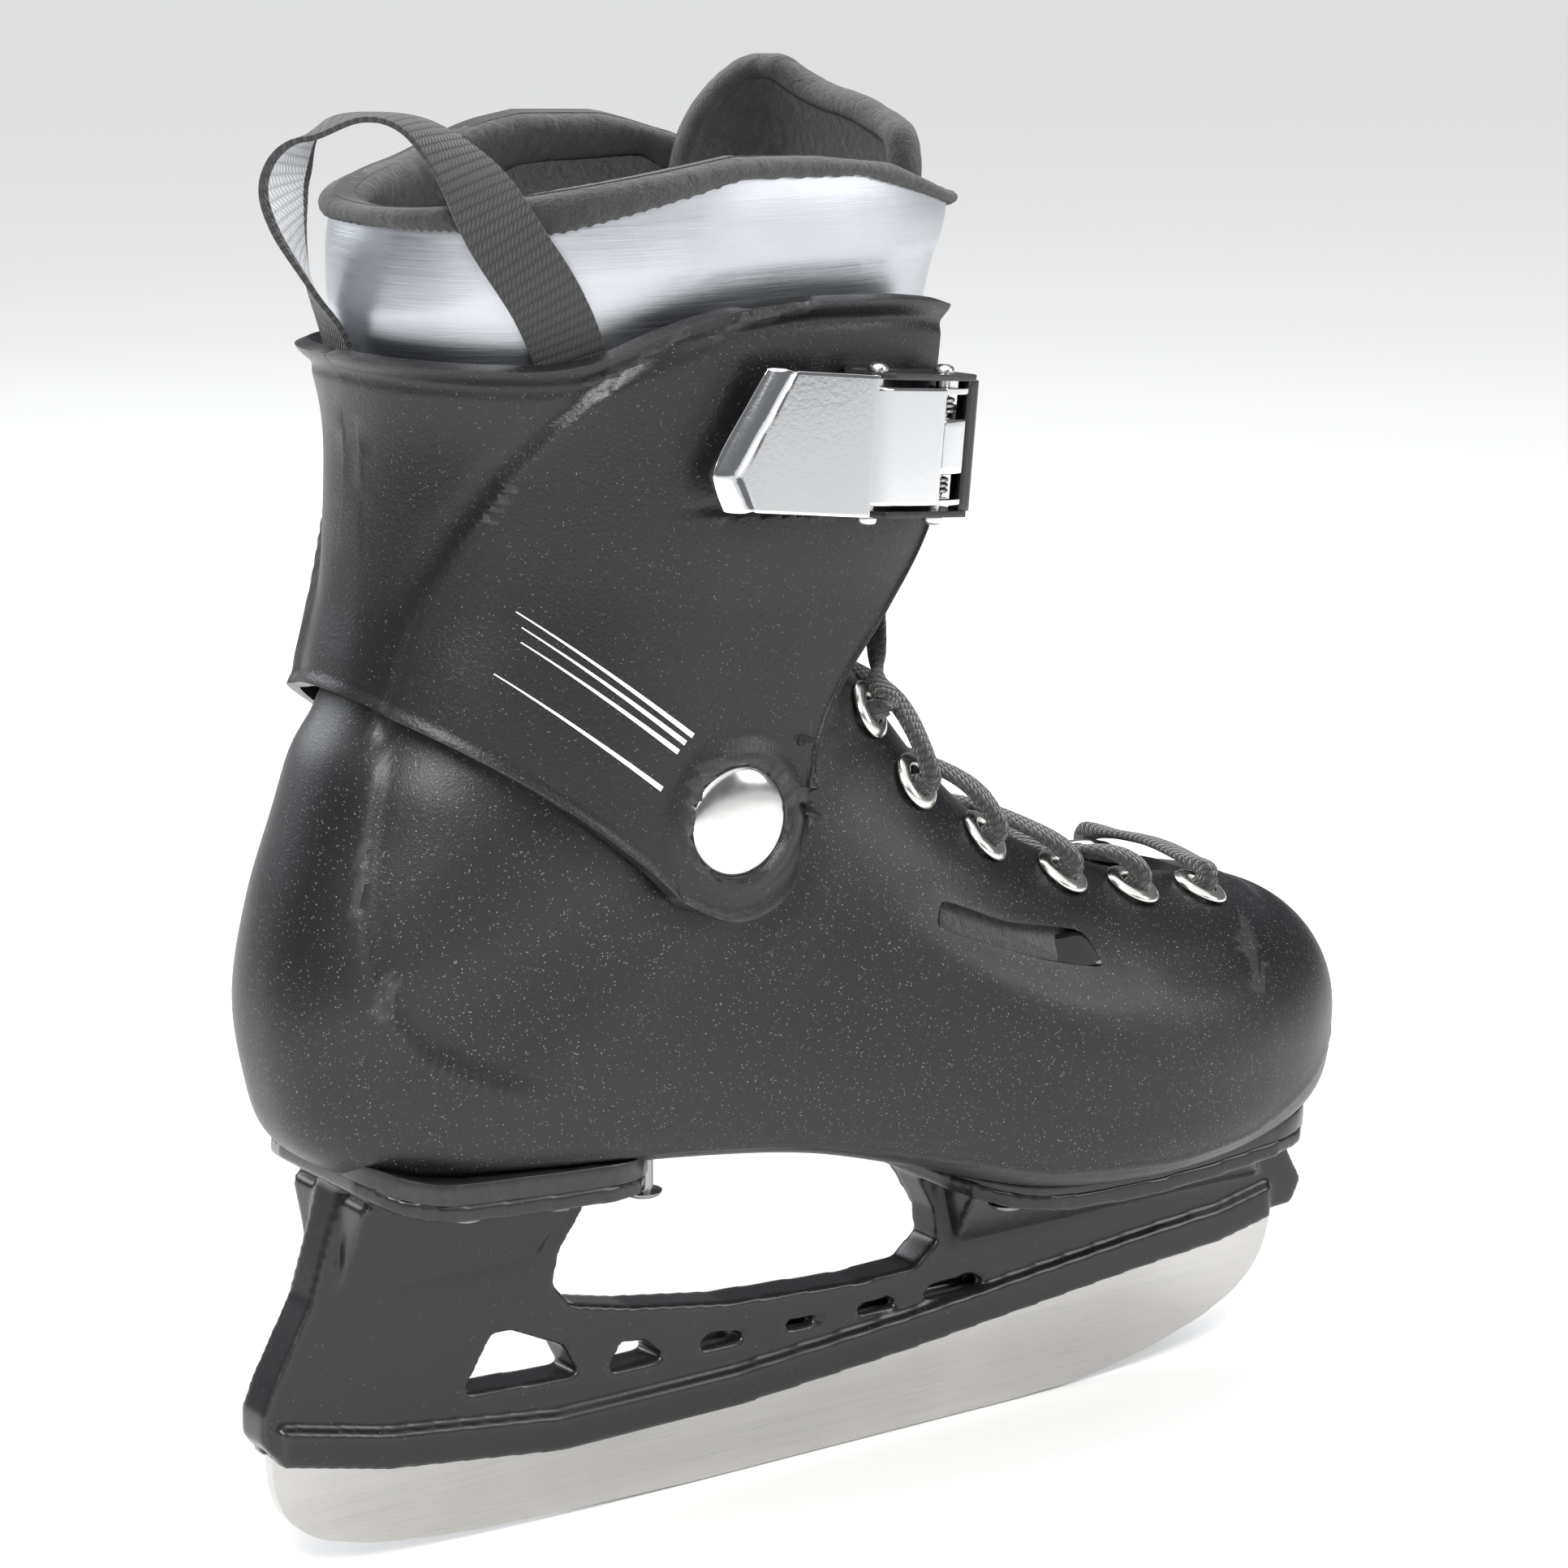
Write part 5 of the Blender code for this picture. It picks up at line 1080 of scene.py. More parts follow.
def cuff_grid(side_columns=124, rows=120):
    lower = smooth_line(np.array(CUFF_LOWER_EDGE) * MM, side_columns + 1)
    upper = smooth_line(np.array(CUFF_UPPER_EDGE) * MM, side_columns + 1)
    low_angle, high_angle = cuff_angle(lower[:, 0], lower[:, 1]), cuff_angle(upper[:, 0], upper[:, 1])
    low_angle[0] = high_angle[0] = 0
    share = np.linspace(0, 1, rows)[:, None]
    angle = low_angle + (high_angle - low_angle) * share
    height = lower[:, 1] + (upper[:, 1] - lower[:, 1]) * share
    outer_side = cuff_at(angle, height)
    grid = np.concatenate([outer_side[:, :0:-1] * np.array([1, -1, 1]), outer_side], 1)
    normal = grid_normals(grid)
    below_rim = np.broadcast_to(((upper[:, 1] - lower[:, 1]) * (1 - share)), height.shape) / MM
    above_edge = np.broadcast_to(((upper[:, 1] - lower[:, 1]) * share), height.shape) / MM
    below_rim, above_edge = (np.concatenate([a[:, :0:-1], a], 1) for a in (below_rim, above_edge))
    lift = cuff_lift(grid)
    lift += (1.9 * (1 - ramp(below_rim, 0.0, 4.6)) - 0.5 * (1 - ramp(np.abs(below_rim - 5.0), 0.0, 2.6))) * MM
    lift += 0.7 * MM * (1 - ramp(above_edge, 0.0, 3.4))
    parting = np.abs(np.abs(grid[..., 1]) / MM - 3.6)
    lift += 0.22 * MM * (1 - ramp(parting, 0.15, 0.75)) * (grid[..., 0] < -60 * MM)
    return grid + normal * lift[..., None]


def build_cuff():
    cuff = skin("cuff_body", cuff_grid(), CUFF_WALL, CUFF_PLASTIC, rim=0.9 * MM)
    apply_all(cuff)
    cutters = []
    for side in (-1, 1):
        place = facing(PIVOT + Vector((0, side * 44 * MM, 0)), (0, 1, 0))
        cutters.append(drill(PIVOT_HOLE_R, 8 * MM, place, CUFF_PLASTIC, 32))
    carve_away(cuff, *cutters)
    settle(cuff, "cuff", "cuff_plastic", "cuff")
    for k, (start, end) in enumerate(STRIPES):
        share = np.linspace(0, 1, 46)
        middle = np.array(start) + (np.array(end) - np.array(start)) * share[:, None]
        way = np.array(end) - np.array(start)
        up = np.array([-way[1], way[0]]) / np.linalg.norm(way)
        half = (0.12 + 0.48 * share)[:, None]
        rows = []
        for s in (-1, 0, 1):
            xz = (middle + up * half * s) * MM
            y = -cuff_face(xz[:, 0], xz[:, 1])
            rows.append(np.stack([xz[:, 0], y, xz[:, 1]], -1))
        grid = np.array(rows)
        nudge = cuff_lift(grid) + 0.16 * MM
        base = np.stack([grid[..., 0] * 0, -np.ones(grid.shape[:2]), grid[..., 2] * 0], -1)
        eps = 0.4 * MM
        slope = (cuff_face(grid[..., 0] + eps, grid[..., 2]) - cuff_face(grid[..., 0] - eps, grid[..., 2])) / (2 * eps)
        base[..., 0] = -slope
        base /= np.linalg.norm(base, axis=-1, keepdims=True)
        stripe = skin(f"printed_stripe_{k + 1}", grid + base * nudge[..., None], 0.14 * MM, WHITE_PRINT, flip=True)
        apply_all(stripe)
        settle(stripe, "cuff", "cuff_plastic")


# ---------------------------------------------------------------- holder and runner
def build_runner():
    lower = [(x, z) for x, z in smooth_line(RUNNER_HEEL, 40)]
    lower += [(x, 0.0) for x in np.linspace(*RUNNER_FLAT, 9)]
    lower += [(x, z) for x, z in smooth_line(RUNNER_TOE, 40)]
    top = RUNNER_TOP / MM
    upper = [(158, top + 5), (100, top + 2), (80, top), (-80, top), (-90, top + 5), (-120, top + 5)]
    runner = cut_slab("runner_blade", [(x * MM, z * MM) for x, z in lower + upper], RUNNER_THICK / 2, RUNNER_STEEL,
                      0.22 * MM)
    return settle(runner, "boot", "runner_steel", "runner", angle=25)


def rounded_copy(node_name, name, material, width, voxel=0.0, passes=0):
    """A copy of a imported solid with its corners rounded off."""
    piece = add_piece(name, frame["nodes"][node_name].data.copy(), material)
    work = bmesh.new()
    work.from_mesh(piece.data)
    bmesh.ops.remove_doubles(work, verts=work.verts, dist=0.01 * MM)
    if not voxel:
        bmesh.ops.dissolve_limit(work, angle_limit=math.radians(1.5), verts=work.verts, edges=work.edges)
    work.to_mesh(piece.data)
    work.free()
    for layer in list(piece.data.uv_layers):
        piece.data.uv_layers.remove(layer)
    if voxel:
        remesh = piece.modifiers.new("even", "REMESH")
        remesh.mode = "VOXEL"
        remesh.voxel_size = voxel
        soft = piece.modifiers.new("soft", "SMOOTH")
        soft.factor = 0.5
        soft.iterations = passes
    elif width:
        round_edges(piece, width, 3, 30)
    apply_all(piece)
    return piece


def build_holder():
    holder = rounded_copy("holder", "holder_casting", HOLDER_PLASTIC, 0, 0.88 * MM, 7)
    settle(holder, "boot", "holder_plastic", "holder", angle=60)


def build_plate_seats():
    """The dished tops of the mounting plates, which meet the curved sole all over."""
    for name, (rear, front, half) in (("heel", HEEL_PLATE), ("toe", TOE_PLATE)):
        xs = np.linspace(rear, front, 30)
        rows = []
        for x in xs:
            end = min(x - rear, front - x)
            reach = min(half, (front - rear) / 2) * 0.5
            inset = reach - math.sqrt(max(reach ** 2 - max(reach - end, 0) ** 2, 0))
            width = half - inset - 0.3
            middle = sole_height(x * MM, MM)
            rows.append([(x * MM, width * s * MM,
                          min(sole_height(x * MM, abs(width * s) * MM + MM), middle + 4.5 * MM) - 0.25 * MM)
                         for s in np.linspace(-1, 1, 17)])
        top = np.array(rows)
        floor_z = np.array([sole_height(x * MM, MM) - GAP - 0.6 * MM for x in xs])
        under = top.copy()
        under[..., 2] = np.minimum(floor_z[:, None], top[..., 2] - 0.3 * MM)
        rings = np.concatenate([top, under[:, ::-1]], 1)
        seat = closed_sweep(f"{name}_plate_seat", rings, HOLDER_PLASTIC)
        round_edges(seat, 0.4 * MM, 2, 50)
        apply_all(seat)
        settle(seat, "boot", "holder_plastic", angle=40)


def build_rivets():
    for base, xs in (("heel_rivet", HEEL_RIVET_X), ("toe_rivet", TOE_RIVET_X)):
        spots = [(x * MM, side * RIVET_Y) for side in (-1, 1) for x in xs]
        for k, (x, y) in enumerate(spots):
            low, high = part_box(f"{base}_{k + 1}")
            r, head, inner = RIVET_SHANK_R, RIVET_HEAD_R, INNER_HEAD_R
            profile = [(0, high.z), (inner * 0.9, high.z), (inner, high.z - 0.8 * MM), (r, high.z - 0.8 * MM),
                       (r, low.z + 1.8 * MM), (head, low.z + 1.5 * MM), (head * 0.96, low.z + 0.9 * MM),
                       (head * 0.8, low.z + 0.35 * MM), (head * 0.5, low.z + 0.1 * MM), (head * 0.34, low.z),
                       (head * 0.3, low.z + 0.9 * MM), (0, low.z + 0.9 * MM)]
            rivet = lathe(f"{base}_turned_{k + 1}", profile, DARK_STEEL, 28)
            rivet.data.transform(Matrix.Translation((x, y, 0)))
            settle(rivet, "boot", "nickel", f"{base}_{k + 1}")


def build_eyelets():
    r, sleeve, bore, lift = EYELET_R, EYELET_HOLE_R - GAP, EYELET_BORE_R, EYELET_LIFT
    profile = [(bore + 0.1 * MM, -SHELL_WALL - 0.6 * MM), (bore, 0), (bore + 0.15 * MM, lift + 0.75 * MM),
               (bore + 0.55 * MM, lift + 1.15 * MM), (bore + 1.2 * MM, lift + 1.3 * MM),
               (r - 1.3 * MM, lift + 1.05 * MM), (r - 0.5 * MM, lift + 0.6 * MM),
               (r - 0.05 * MM, lift + 0.05 * MM), (r, lift - 0.35 * MM),
               (r - 0.3 * MM, lift - 0.7 * MM), (sleeve, lift - 0.7 * MM), (sleeve, -SHELL_WALL - 0.6 * MM),
               (bore + 0.1 * MM, -SHELL_WALL - 0.6 * MM)]
    master = lathe("eyelet_master", profile, NICKEL, 48)
    for side, name in ((-1, "outer"), (1, "inner")):
        for k in range(len(EYELETS)):
            spot, normal = eyelet_place(k, side)
            ring = copy_at(master, f"eyelet_ring_{name}_{k + 1}", facing(spot, normal))
            settle(ring, "boot", "nickel", f"eyelet_{name}_{k + 1}", angle=50)
    bpy.data.objects.remove(master)


def build_pivots():
    for name, side in (("outer", -1), ("inner", 1)):
        low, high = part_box(f"pivot_bolt_{name}")
        tip = max(abs(low.y), abs(high.y))
        inner = min(abs(low.y), abs(high.y))
        base = tip - 3.6 * MM
        dome = [(PIVOT_CAP_R * math.sin(a), base + 1.2 * MM + 2.4 * MM * math.cos(a)) for a in np.linspace(0, 1.38, 14)]
        dome += [(PIVOT_CAP_R, base + 1.2 * MM), (PIVOT_CAP_R - 0.1 * MM, base + 0.5 * MM),
                 (PIVOT_CAP_R - 0.5 * MM, base + 0.1 * MM), (3 * MM, base + 0.1 * MM), (3 * MM, inner), (0, inner)]
        bolt = lathe(f"pivot_cap_{name}", dome, CAP_CHROME, 64)
        bolt.data.transform(facing(PIVOT, (0, side, 0)))
        settle(bolt, "boot", "chrome", f"pivot_bolt_{name}", angle=50)
        lip = [(12.8 * MM, base + 0.7 * MM), (12.75 * MM, base + 1.1 * MM), (13.0 * MM, base + 1.35 * MM),
               (13.5 * MM, base + 1.3 * MM), (13.8 * MM, base + 0.9 * MM), (13.8 * MM, base - 0.2 * MM),
               (12.8 * MM, base - 0.2 * MM), (12.8 * MM, base + 0.7 * MM)]
        ring = lathe(f"pivot_ring_{name}", lip, GLOSS_PLASTIC, 64)
        ring.data.transform(facing(PIVOT, (0, side, 0)))
        settle(ring, "cuff", "cuff_plastic")
        low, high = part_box(f"pivot_nut_{name}")
        far, near = max(abs(low.y), abs(high.y)), min(abs(low.y), abs(high.y))
        nut = lathe(f"pivot_sleeve_{name}", [(3.3 * MM, near), (3.3 * MM, far), (PIVOT_SLEEVE_R, far),
                                             (PIVOT_SLEEVE_R, near + 0.8 * MM), (7.8 * MM, near + 0.8 * MM),
                                             (8 * MM, near + 0.6 * MM), (8 * MM, near + 0.2 * MM), (7.8 * MM, near),
                                             (3.3 * MM, near)], DARK_STEEL, 40)
        nut.data.transform(facing(PIVOT, (0, side, 0)))
        settle(nut, "boot", "dark_steel", f"pivot_nut_{name}")


def build_vents():
    """Glossy sloped ends of the vent window, and the knit behind it."""
    for name, side in (("outer", -1), ("inner", 1)):
        frame["nodes"][f"vent_panel_{name}"].data.materials[0] = VENT_CLOTH
        for end, (corners, slope) in {"front": ([(70, 136.2), (81.5, 134.6), (81.5, 126.5), (66, 128.6)], 1),
                                      "rear": ([(29.5, 149.5), (35.5, 148.5), (34.5, 140.8), (28.5, 142)], -1)}.items():
            a = np.linspace(0, 1, 12)
            top = np.array(corners[0]) + (np.array(corners[1]) - np.array(corners[0])) * a[:, None]
            low = np.array(corners[3]) + (np.array(corners[2]) - np.array(corners[3])) * a[:, None]
            rows = []
            for b in np.linspace(0, 1, 8):
                xz = top + (low - top) * b
                spots = [find_on(boot_face, (x * MM, z * MM), (4, 12), (0.4, 1.9), (0, 2)) for x, z in xz]
                rise = a if slope > 0 else 1 - a
                depth = (SHELL_WALL + 0.6 * MM) * (1 - ramp(rise, 0.0, 0.9)) + 0.5 * MM
                points = np.array([sunk(boot_face, t, angle, d)[0] for (t, angle), d in zip(spots, depth)])
                rows.append(points * np.array([1, -side, 1]))
            wedge = skin(f"vent_{end}_{name}", np.array(rows), 0.8 * MM, GLOSS_PLASTIC, flip=side < 0, rim=0.2 * MM)
            apply_all(wedge)
            settle(wedge, "boot", "shell_plastic")


# ---------------------------------------------------------------- liner and tongue
LINER_TOP = [(-126, 322), (-101, 318), (-73, 322), (-52, 325), (-31, 328), (-10, 327), (12, 324), (30, 317), (56, 312)]
BAND_TOP = [(-126, 314), (-100, 312), (-72, 311), (-51, 316), (-30, 321), (3, 320), (28, 313), (56, 306)]
# outline of the fleece rim: share of its height above the silver band, distance outwards (mm)
RIM_OUTLINE = [(0.0, 1.75), (0.02, 2.15), (0.2, 2.9), (0.45, 3.3), (0.7, 3.1), (0.88, 2.3), (0.98, 0.6),
               (1.02, -1.4), (1.0, -4.0), (0.9, -6.4), (0.72, -7.6), (0.45, -8.1), (0.1, -7.9), (-0.35, -7.2),
               (-0.8, -6.2), (-1.2, -5.4), (-1.25, -4.9), (-0.6, -4.5), (0.0, -2.0)]
RIM_MIDDLE = (0.45, -2.2)
LEG_START = 17                 # station where the liner leaves the shell
MOUTH = 23                     # station at the liner's mouth


def station_at_height(heights, shares_angle, low=17.0, high=26.5):
    """For each column's angle, the station where the sock passes the wanted height."""
    ts = np.linspace(low, high, 200)
    found = []
    for height, angle in zip(heights, shares_angle):
        z = sock_face(ts, np.full(200, angle))[:, 2]
        found.append(np.interp(height, z, ts))
    return np.array(found)


def liner_point(t, angle, extra=0.0):
    _, normal = sunk(sock_face, t, angle, np.zeros(np.broadcast(t, angle).shape))
    return sunk(sock_face, t, angle, liner_depth(normal) - extra)


def liner_edge(t):
    return edge_angle(t, LINER_EDGE, 1.4)


def liner_columns(t, count):
    edge = liner_edge(t) if t >= 4 else 0.0
    return edge + (2 * math.pi - 2 * edge) * np.linspace(0, 1, count)


def crest_heights(angles, table):
    """Heights of a line round the liner's top, from its side view, with the inner side a little higher."""
    point = sock_face(np.full(len(angles), float(MOUTH)), angles)
    heights = np.interp(point[:, 0] / MM, *zip(*table))
    inner = ramp(point[:, 1] / MM, 5, 40) * ramp(-np.abs(point[:, 0] / MM + 25), -45, -15)
    return (heights + 4 * inner) * MM


def settle_padded(piece, replaced):
    """Shades a padded piece that lies between boot and cuff, hides the part it replaces and bakes its placement into
    its mesh.
    """
    only(piece)
    bpy.ops.object.shade_smooth_by_angle(angle=math.radians(60))
    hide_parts(replaced)
    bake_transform(piece)


def build_liner(columns=220):
    angles = liner_columns(MOUTH, columns)
    top_t = station_at_height(crest_heights(angles, LINER_TOP), angles)
    rows = []
    for t in np.concatenate([np.linspace(0.5, 4, 10), np.linspace(4.2, LEG_START, 40)]):
        rows.append(liner_point(np.full(columns, t), liner_columns(t, columns))[0])
    nose = rows[0].mean(0) + np.array([1.5 * MM, 0, 0])
    rows.insert(0, np.tile(nose, (columns, 1)))
    for share in np.linspace(0, 1, 46)[1:]:
        t = LEG_START + (top_t - 0.1 - LEG_START) * share
        edge = liner_edge(LEG_START + (MOUTH - LEG_START) * share)
        angle = edge + (2 * math.pi - 2 * edge) * np.linspace(0, 1, columns)
        rows.append(liner_point(t, angle)[0])
    grid = np.array(rows)
    liner = skin("liner_body", grid, LINER_WALL, KNIT, FLEECE, flip=True, rim=0.0, inside=1)
    apply_all(liner)
    settle_padded(liner, "liner")

    band_t = station_at_height(crest_heights(angles, BAND_TOP), angles)
    fine = 620
    fine_share = np.linspace(0, 1, fine)
    angle = angles[0] + (angles[-1] - angles[0]) * fine_share
    coarse = np.linspace(0, 1, columns)
    border, crest = np.interp(fine_share, coarse, band_t), np.interp(fine_share, coarse, top_t)
    rows = []
    for share in np.linspace(0, 1, 40):
        t = 20.2 + (border + 0.12 - 20.2) * share
        bulge = 0.8 + 0.9 * math.sin(math.pi * min(share * 1.05, 1.0)) ** 0.7
        rows.append(liner_point(t, angle, np.full(fine, bulge * MM))[0])
    band = skin("collar_band", np.array(rows), 0.7 * MM, SILVER_FABRIC, flip=True, rim=0.15 * MM)
    apply_all(band)
    settle(band, "cuff", "fleece")

    zigzag = (np.abs(((fine_share * fine / 5.0) % 1.0) - 0.5) - 0.25) * 1.5 * MM
    base, normal = liner_point(border, angle)
    top_point, _ = liner_point(crest - 0.12, angle)
    up = top_point - base
    height = np.linalg.norm(up, axis=-1, keepdims=True)
    up /= np.maximum(height, 1e-9)
    ends = np.minimum(1, np.minimum(fine_share, 1 - fine_share) * fine / 9.0)
    fat = np.sqrt(1 - (1 - ends) ** 2) * 0.85 + 0.15
    rings = []
    for k, (share, out) in enumerate(RIM_OUTLINE):
        rise = RIM_MIDDLE[0] + (share - RIM_MIDDLE[0]) * fat
        proud = RIM_MIDDLE[1] + (out - RIM_MIDDLE[1]) * fat
        lift = rise * height[:, 0] + (zigzag if k == 0 else 0)
        rings.append(base + up * lift[:, None] + normal * (proud * MM)[:, None])
    rim = closed_sweep("fleece_rim", np.array(rings).transpose(1, 0, 2), FLEECE)
    add_fuzz(rim, 0.35 * MM, 2.2 * MM)
    settle(rim, "cuff", "fleece", angle=70)


def add_fuzz(piece, strength, size):
    """Small uneven bumps of a matted pile, in the mesh."""
    pattern = bpy.data.textures.new(piece.name + "_pile", "CLOUDS")
    pattern.noise_scale = size
    pattern.noise_depth = 3
    shift = piece.modifiers.new("pile", "DISPLACE")
    shift.texture = pattern
    shift.texture_coords = "LOCAL"
    shift.strength = strength
    shift.mid_level = 0.5
    apply_all(piece)


# station, half width of the tongue (mm); station, extra depth behind the ankle's fold (mm)
TONGUE_HALF = [(3.7, 22), (4.4, 35), (6, 42), (9.6, 42), (11, 37), (14, 33), (19, 35), (22, 38), (25, 38), (27, 36)]
TONGUE_TUCK = [(11, 0), (15, 4), (17, 5.5), (19, 8), (21, 8.5), (22, 0)]


def tongue_top(share):
    """Station of the tongue's upper edge: high on the inner side, lower on the outer, with round corners."""
    corner = np.clip((np.abs(share) - 0.62) / 0.38, 0, 1)
    drop = 1 - np.sqrt(np.maximum(1 - corner ** 2, 0))
    return np.interp(share, [-1, -0.4, 0.2, 1], [26.3, 26.4, 25.7, 25.3]) - 1.5 * drop


def tongue_surface(t, share, extra=0.0):
    depth = LINER_DEPTH + LINER_WALL + TONGUE_GAP + np.interp(t, *zip(*TONGUE_TUCK)) * MM
    edge = np.array([edge_angle(v, TONGUE_HALF, 1.5) for v in np.ravel(t)]).reshape(np.shape(t))
    edge = edge * np.where(share < 0, 1 + 0.85 * ramp(t, 18.5, 23.0) * -share, 1.0)
    return sunk(sock_face, t, edge * share, depth - extra)


def build_tongue(columns=90):
    shares = np.linspace(-1, 1, columns)
    tops = tongue_top(shares)
    rows = []
    for share in np.linspace(0, 1, 120):
        t = 3.7 + (tops - 3.7) * share
        pad = 1.2 * math.sin(math.pi * share) * np.sqrt(np.maximum(1 - shares ** 2, 0))
        rows.append(tongue_surface(t, shares, pad * MM)[0])
    grid = np.array(rows)
    tongue = skin("tongue_pad", grid, TONGUE_WALL + 1.0 * MM, CANVAS, FLEECE, flip=True, rim=1.6 * MM, inside=1)
    apply_all(tongue)
    settle_padded(tongue, "tongue")
    left = [(t, -1.0) for t in np.linspace(21, float(tongue_top(np.array(-1.0))), 24)]
    over = [(float(tongue_top(np.array(s))), s) for s in np.linspace(-1, 1, 90)[1:-1]]
    right = [(t, 1.0) for t in np.linspace(float(tongue_top(np.array(1.0))), 21, 24)]
    route = np.array(left + over + right)
    middle, out = tongue_surface(route[:, 0], route[:, 1], np.full(len(route), -2.6 * MM))
    for _ in range(3):
        middle[1:-1] = (middle[:-2] + middle[1:-1] + middle[2:]) / 3
    piping = sweep("tongue_piping", middle, out, flat_oval(np.full(len(route), 3.1 * MM), 4.0 * MM, 16, 2.0), FLEECE)
    add_fuzz(piping, 0.3 * MM, 2.0 * MM)
    settle(piping, "cuff", "fleece", angle=70)
    frame["nodes"]["footbed"].data.materials[0] = FOOTBED_BOARD


# ---------------------------------------------------------------- buckle
def pin_line(place):
    return place.to_3x3() @ Vector((0, 0, 1))


def lever_height(place, t):
    """Height of the lever's outer face above the buckle's base plane at t (m)."""
    under = LEVER_LIFT + 1.4 * MM
    bend = -26 * MM
    start = -cuff_line_in_frame(place, bend)
    stations = np.linspace(bend, -LEVER_LENGTH, 9)
    heights = []
    for k, s in enumerate(stations):
        above = (under - start) + (5 * MM - (under - start)) * k / (len(stations) - 1)
        heights.append(-cuff_line_in_frame(place, float(s)) + above + LEVER_T)
    front_t = np.array([-14, -8, -3, 0, 3.2]) * MM
    front_n = np.array([12.35, 12.3, 12.1, 11.8, 10.6]) * MM
    return float(np.interp(t, np.concatenate([stations[::-1], front_t]), np.concatenate([heights[::-1], front_n])))


def build_lever(place):
    ts_table = np.linspace(-64, 3.2, 80) * MM
    hs = np.array([lever_height(place, t) for t in ts_table])
    for _ in range(4):
        hs[1:-1] = (hs[:-2] + hs[1:-1] + hs[2:]) / 3
    half_front, half_rear, split = 13.2 * MM, 15.7 * MM, -27.5 * MM
    inner, outer_edge = 6.2 * MM, 11.8 * MM

    def panel(name, t_of, u_of, rows, columns):
        a, b = np.meshgrid(np.linspace(0, 1, rows), np.linspace(0, 1, columns), indexing="ij")
        t, u = t_of(a, b), u_of(a, b)
        n = np.interp(t, ts_table, hs)
        end = t - lever_end(u)
        n = n - 1.1 * MM * (1 - ramp(end, 0.0, 3.4 * MM)) * (np.abs(u) <= half_rear + 1)
        n = n + 0.35 * MM * (1 - ramp(np.abs(end - 3.9 * MM), 0.0, 1.1 * MM))
        points = carried(place, np.stack([t, -n, u], -1))
        return skin(name, points, LEVER_T, CHROME, rim=0.55 * MM)

    def lever_end(u):
        upper = np.interp(u, [-8 * MM, half_rear], [-61.0 * MM, -50.5 * MM])
        lower = np.interp(u, [-half_rear, -8 * MM], [-57.2 * MM, -61.0 * MM])
        return np.where(u > -8 * MM, upper, lower)

    plate = panel("lever_plate", lambda a, b: lever_end(-half_rear + 2 * half_rear * b) * (1 - a) + split * a,
                  lambda a, b: -half_rear + 2 * half_rear * b, 44, 40)
    apply_all(plate)
    neck = panel("lever_neck", lambda a, b: (split - 1.2 * MM) * (1 - a) + (-5.5 * MM) * a,
                 lambda a, b: (-half_front + 2 * half_front * b), 20, 30)
    apply_all(neck)
    tongues = []
    for k, (low, high) in enumerate(((-half_front, -outer_edge), (-inner, inner), (outer_edge, half_front))):
        finger = panel(f"lever_finger_{k}", lambda a, b: (-5.9 * MM) * (1 - a) + 3.2 * MM * a,
                       lambda a, b, low=low, high=high: low + (high - low) * b, 10, 8)
        apply_all(finger)
        tongues.append(finger)
        barrel = lathe(f"lever_barrel_{k}", [(PIN_R + 0.1 * MM, low), (LEVER_BOSS_R - 0.3 * MM, low),
                                             (LEVER_BOSS_R, low + 0.3 * MM), (LEVER_BOSS_R, high - 0.3 * MM),
                                             (LEVER_BOSS_R - 0.3 * MM, high), (PIN_R + 0.1 * MM, high),
                                             (PIN_R + 0.1 * MM, low)], CHROME, 32)
        barrel.data.transform(place @ Matrix.Translation((0, -LEVER_LIFT, 0)))
        tongues.append(barrel)
    lever = join_pieces(plate, neck, *tongues)
    lever.name = "lever_body"
    settle(lever, "lever", "chrome", "buckle_lever", angle=30)


def build_springs(place):
    for side, name in ((-1, "lower"), (1, "upper")):
        steps = np.linspace(0, 1, 110)
        turn = 2 * math.pi * 3.6 * steps
        z = side * SPRING_MIDDLE + 4.4 * MM * (steps - 0.5)
        local = np.stack([SPRING_R * np.cos(turn), -LEVER_LIFT + SPRING_R * np.sin(turn), z], -1)
        points = carried(place, local)
        axis = np.tile(np.array(pin_line(place)), (len(points), 1))
        coil = sweep(f"lever_coil_{name}", points, axis, flat_oval(np.full(len(points), 0.45 * MM), 0.45 * MM, 10, 2.0),
                     DARK_STEEL)
        settle(coil, "cuff", "dark_steel", f"lever_spring_{name}", angle=60)


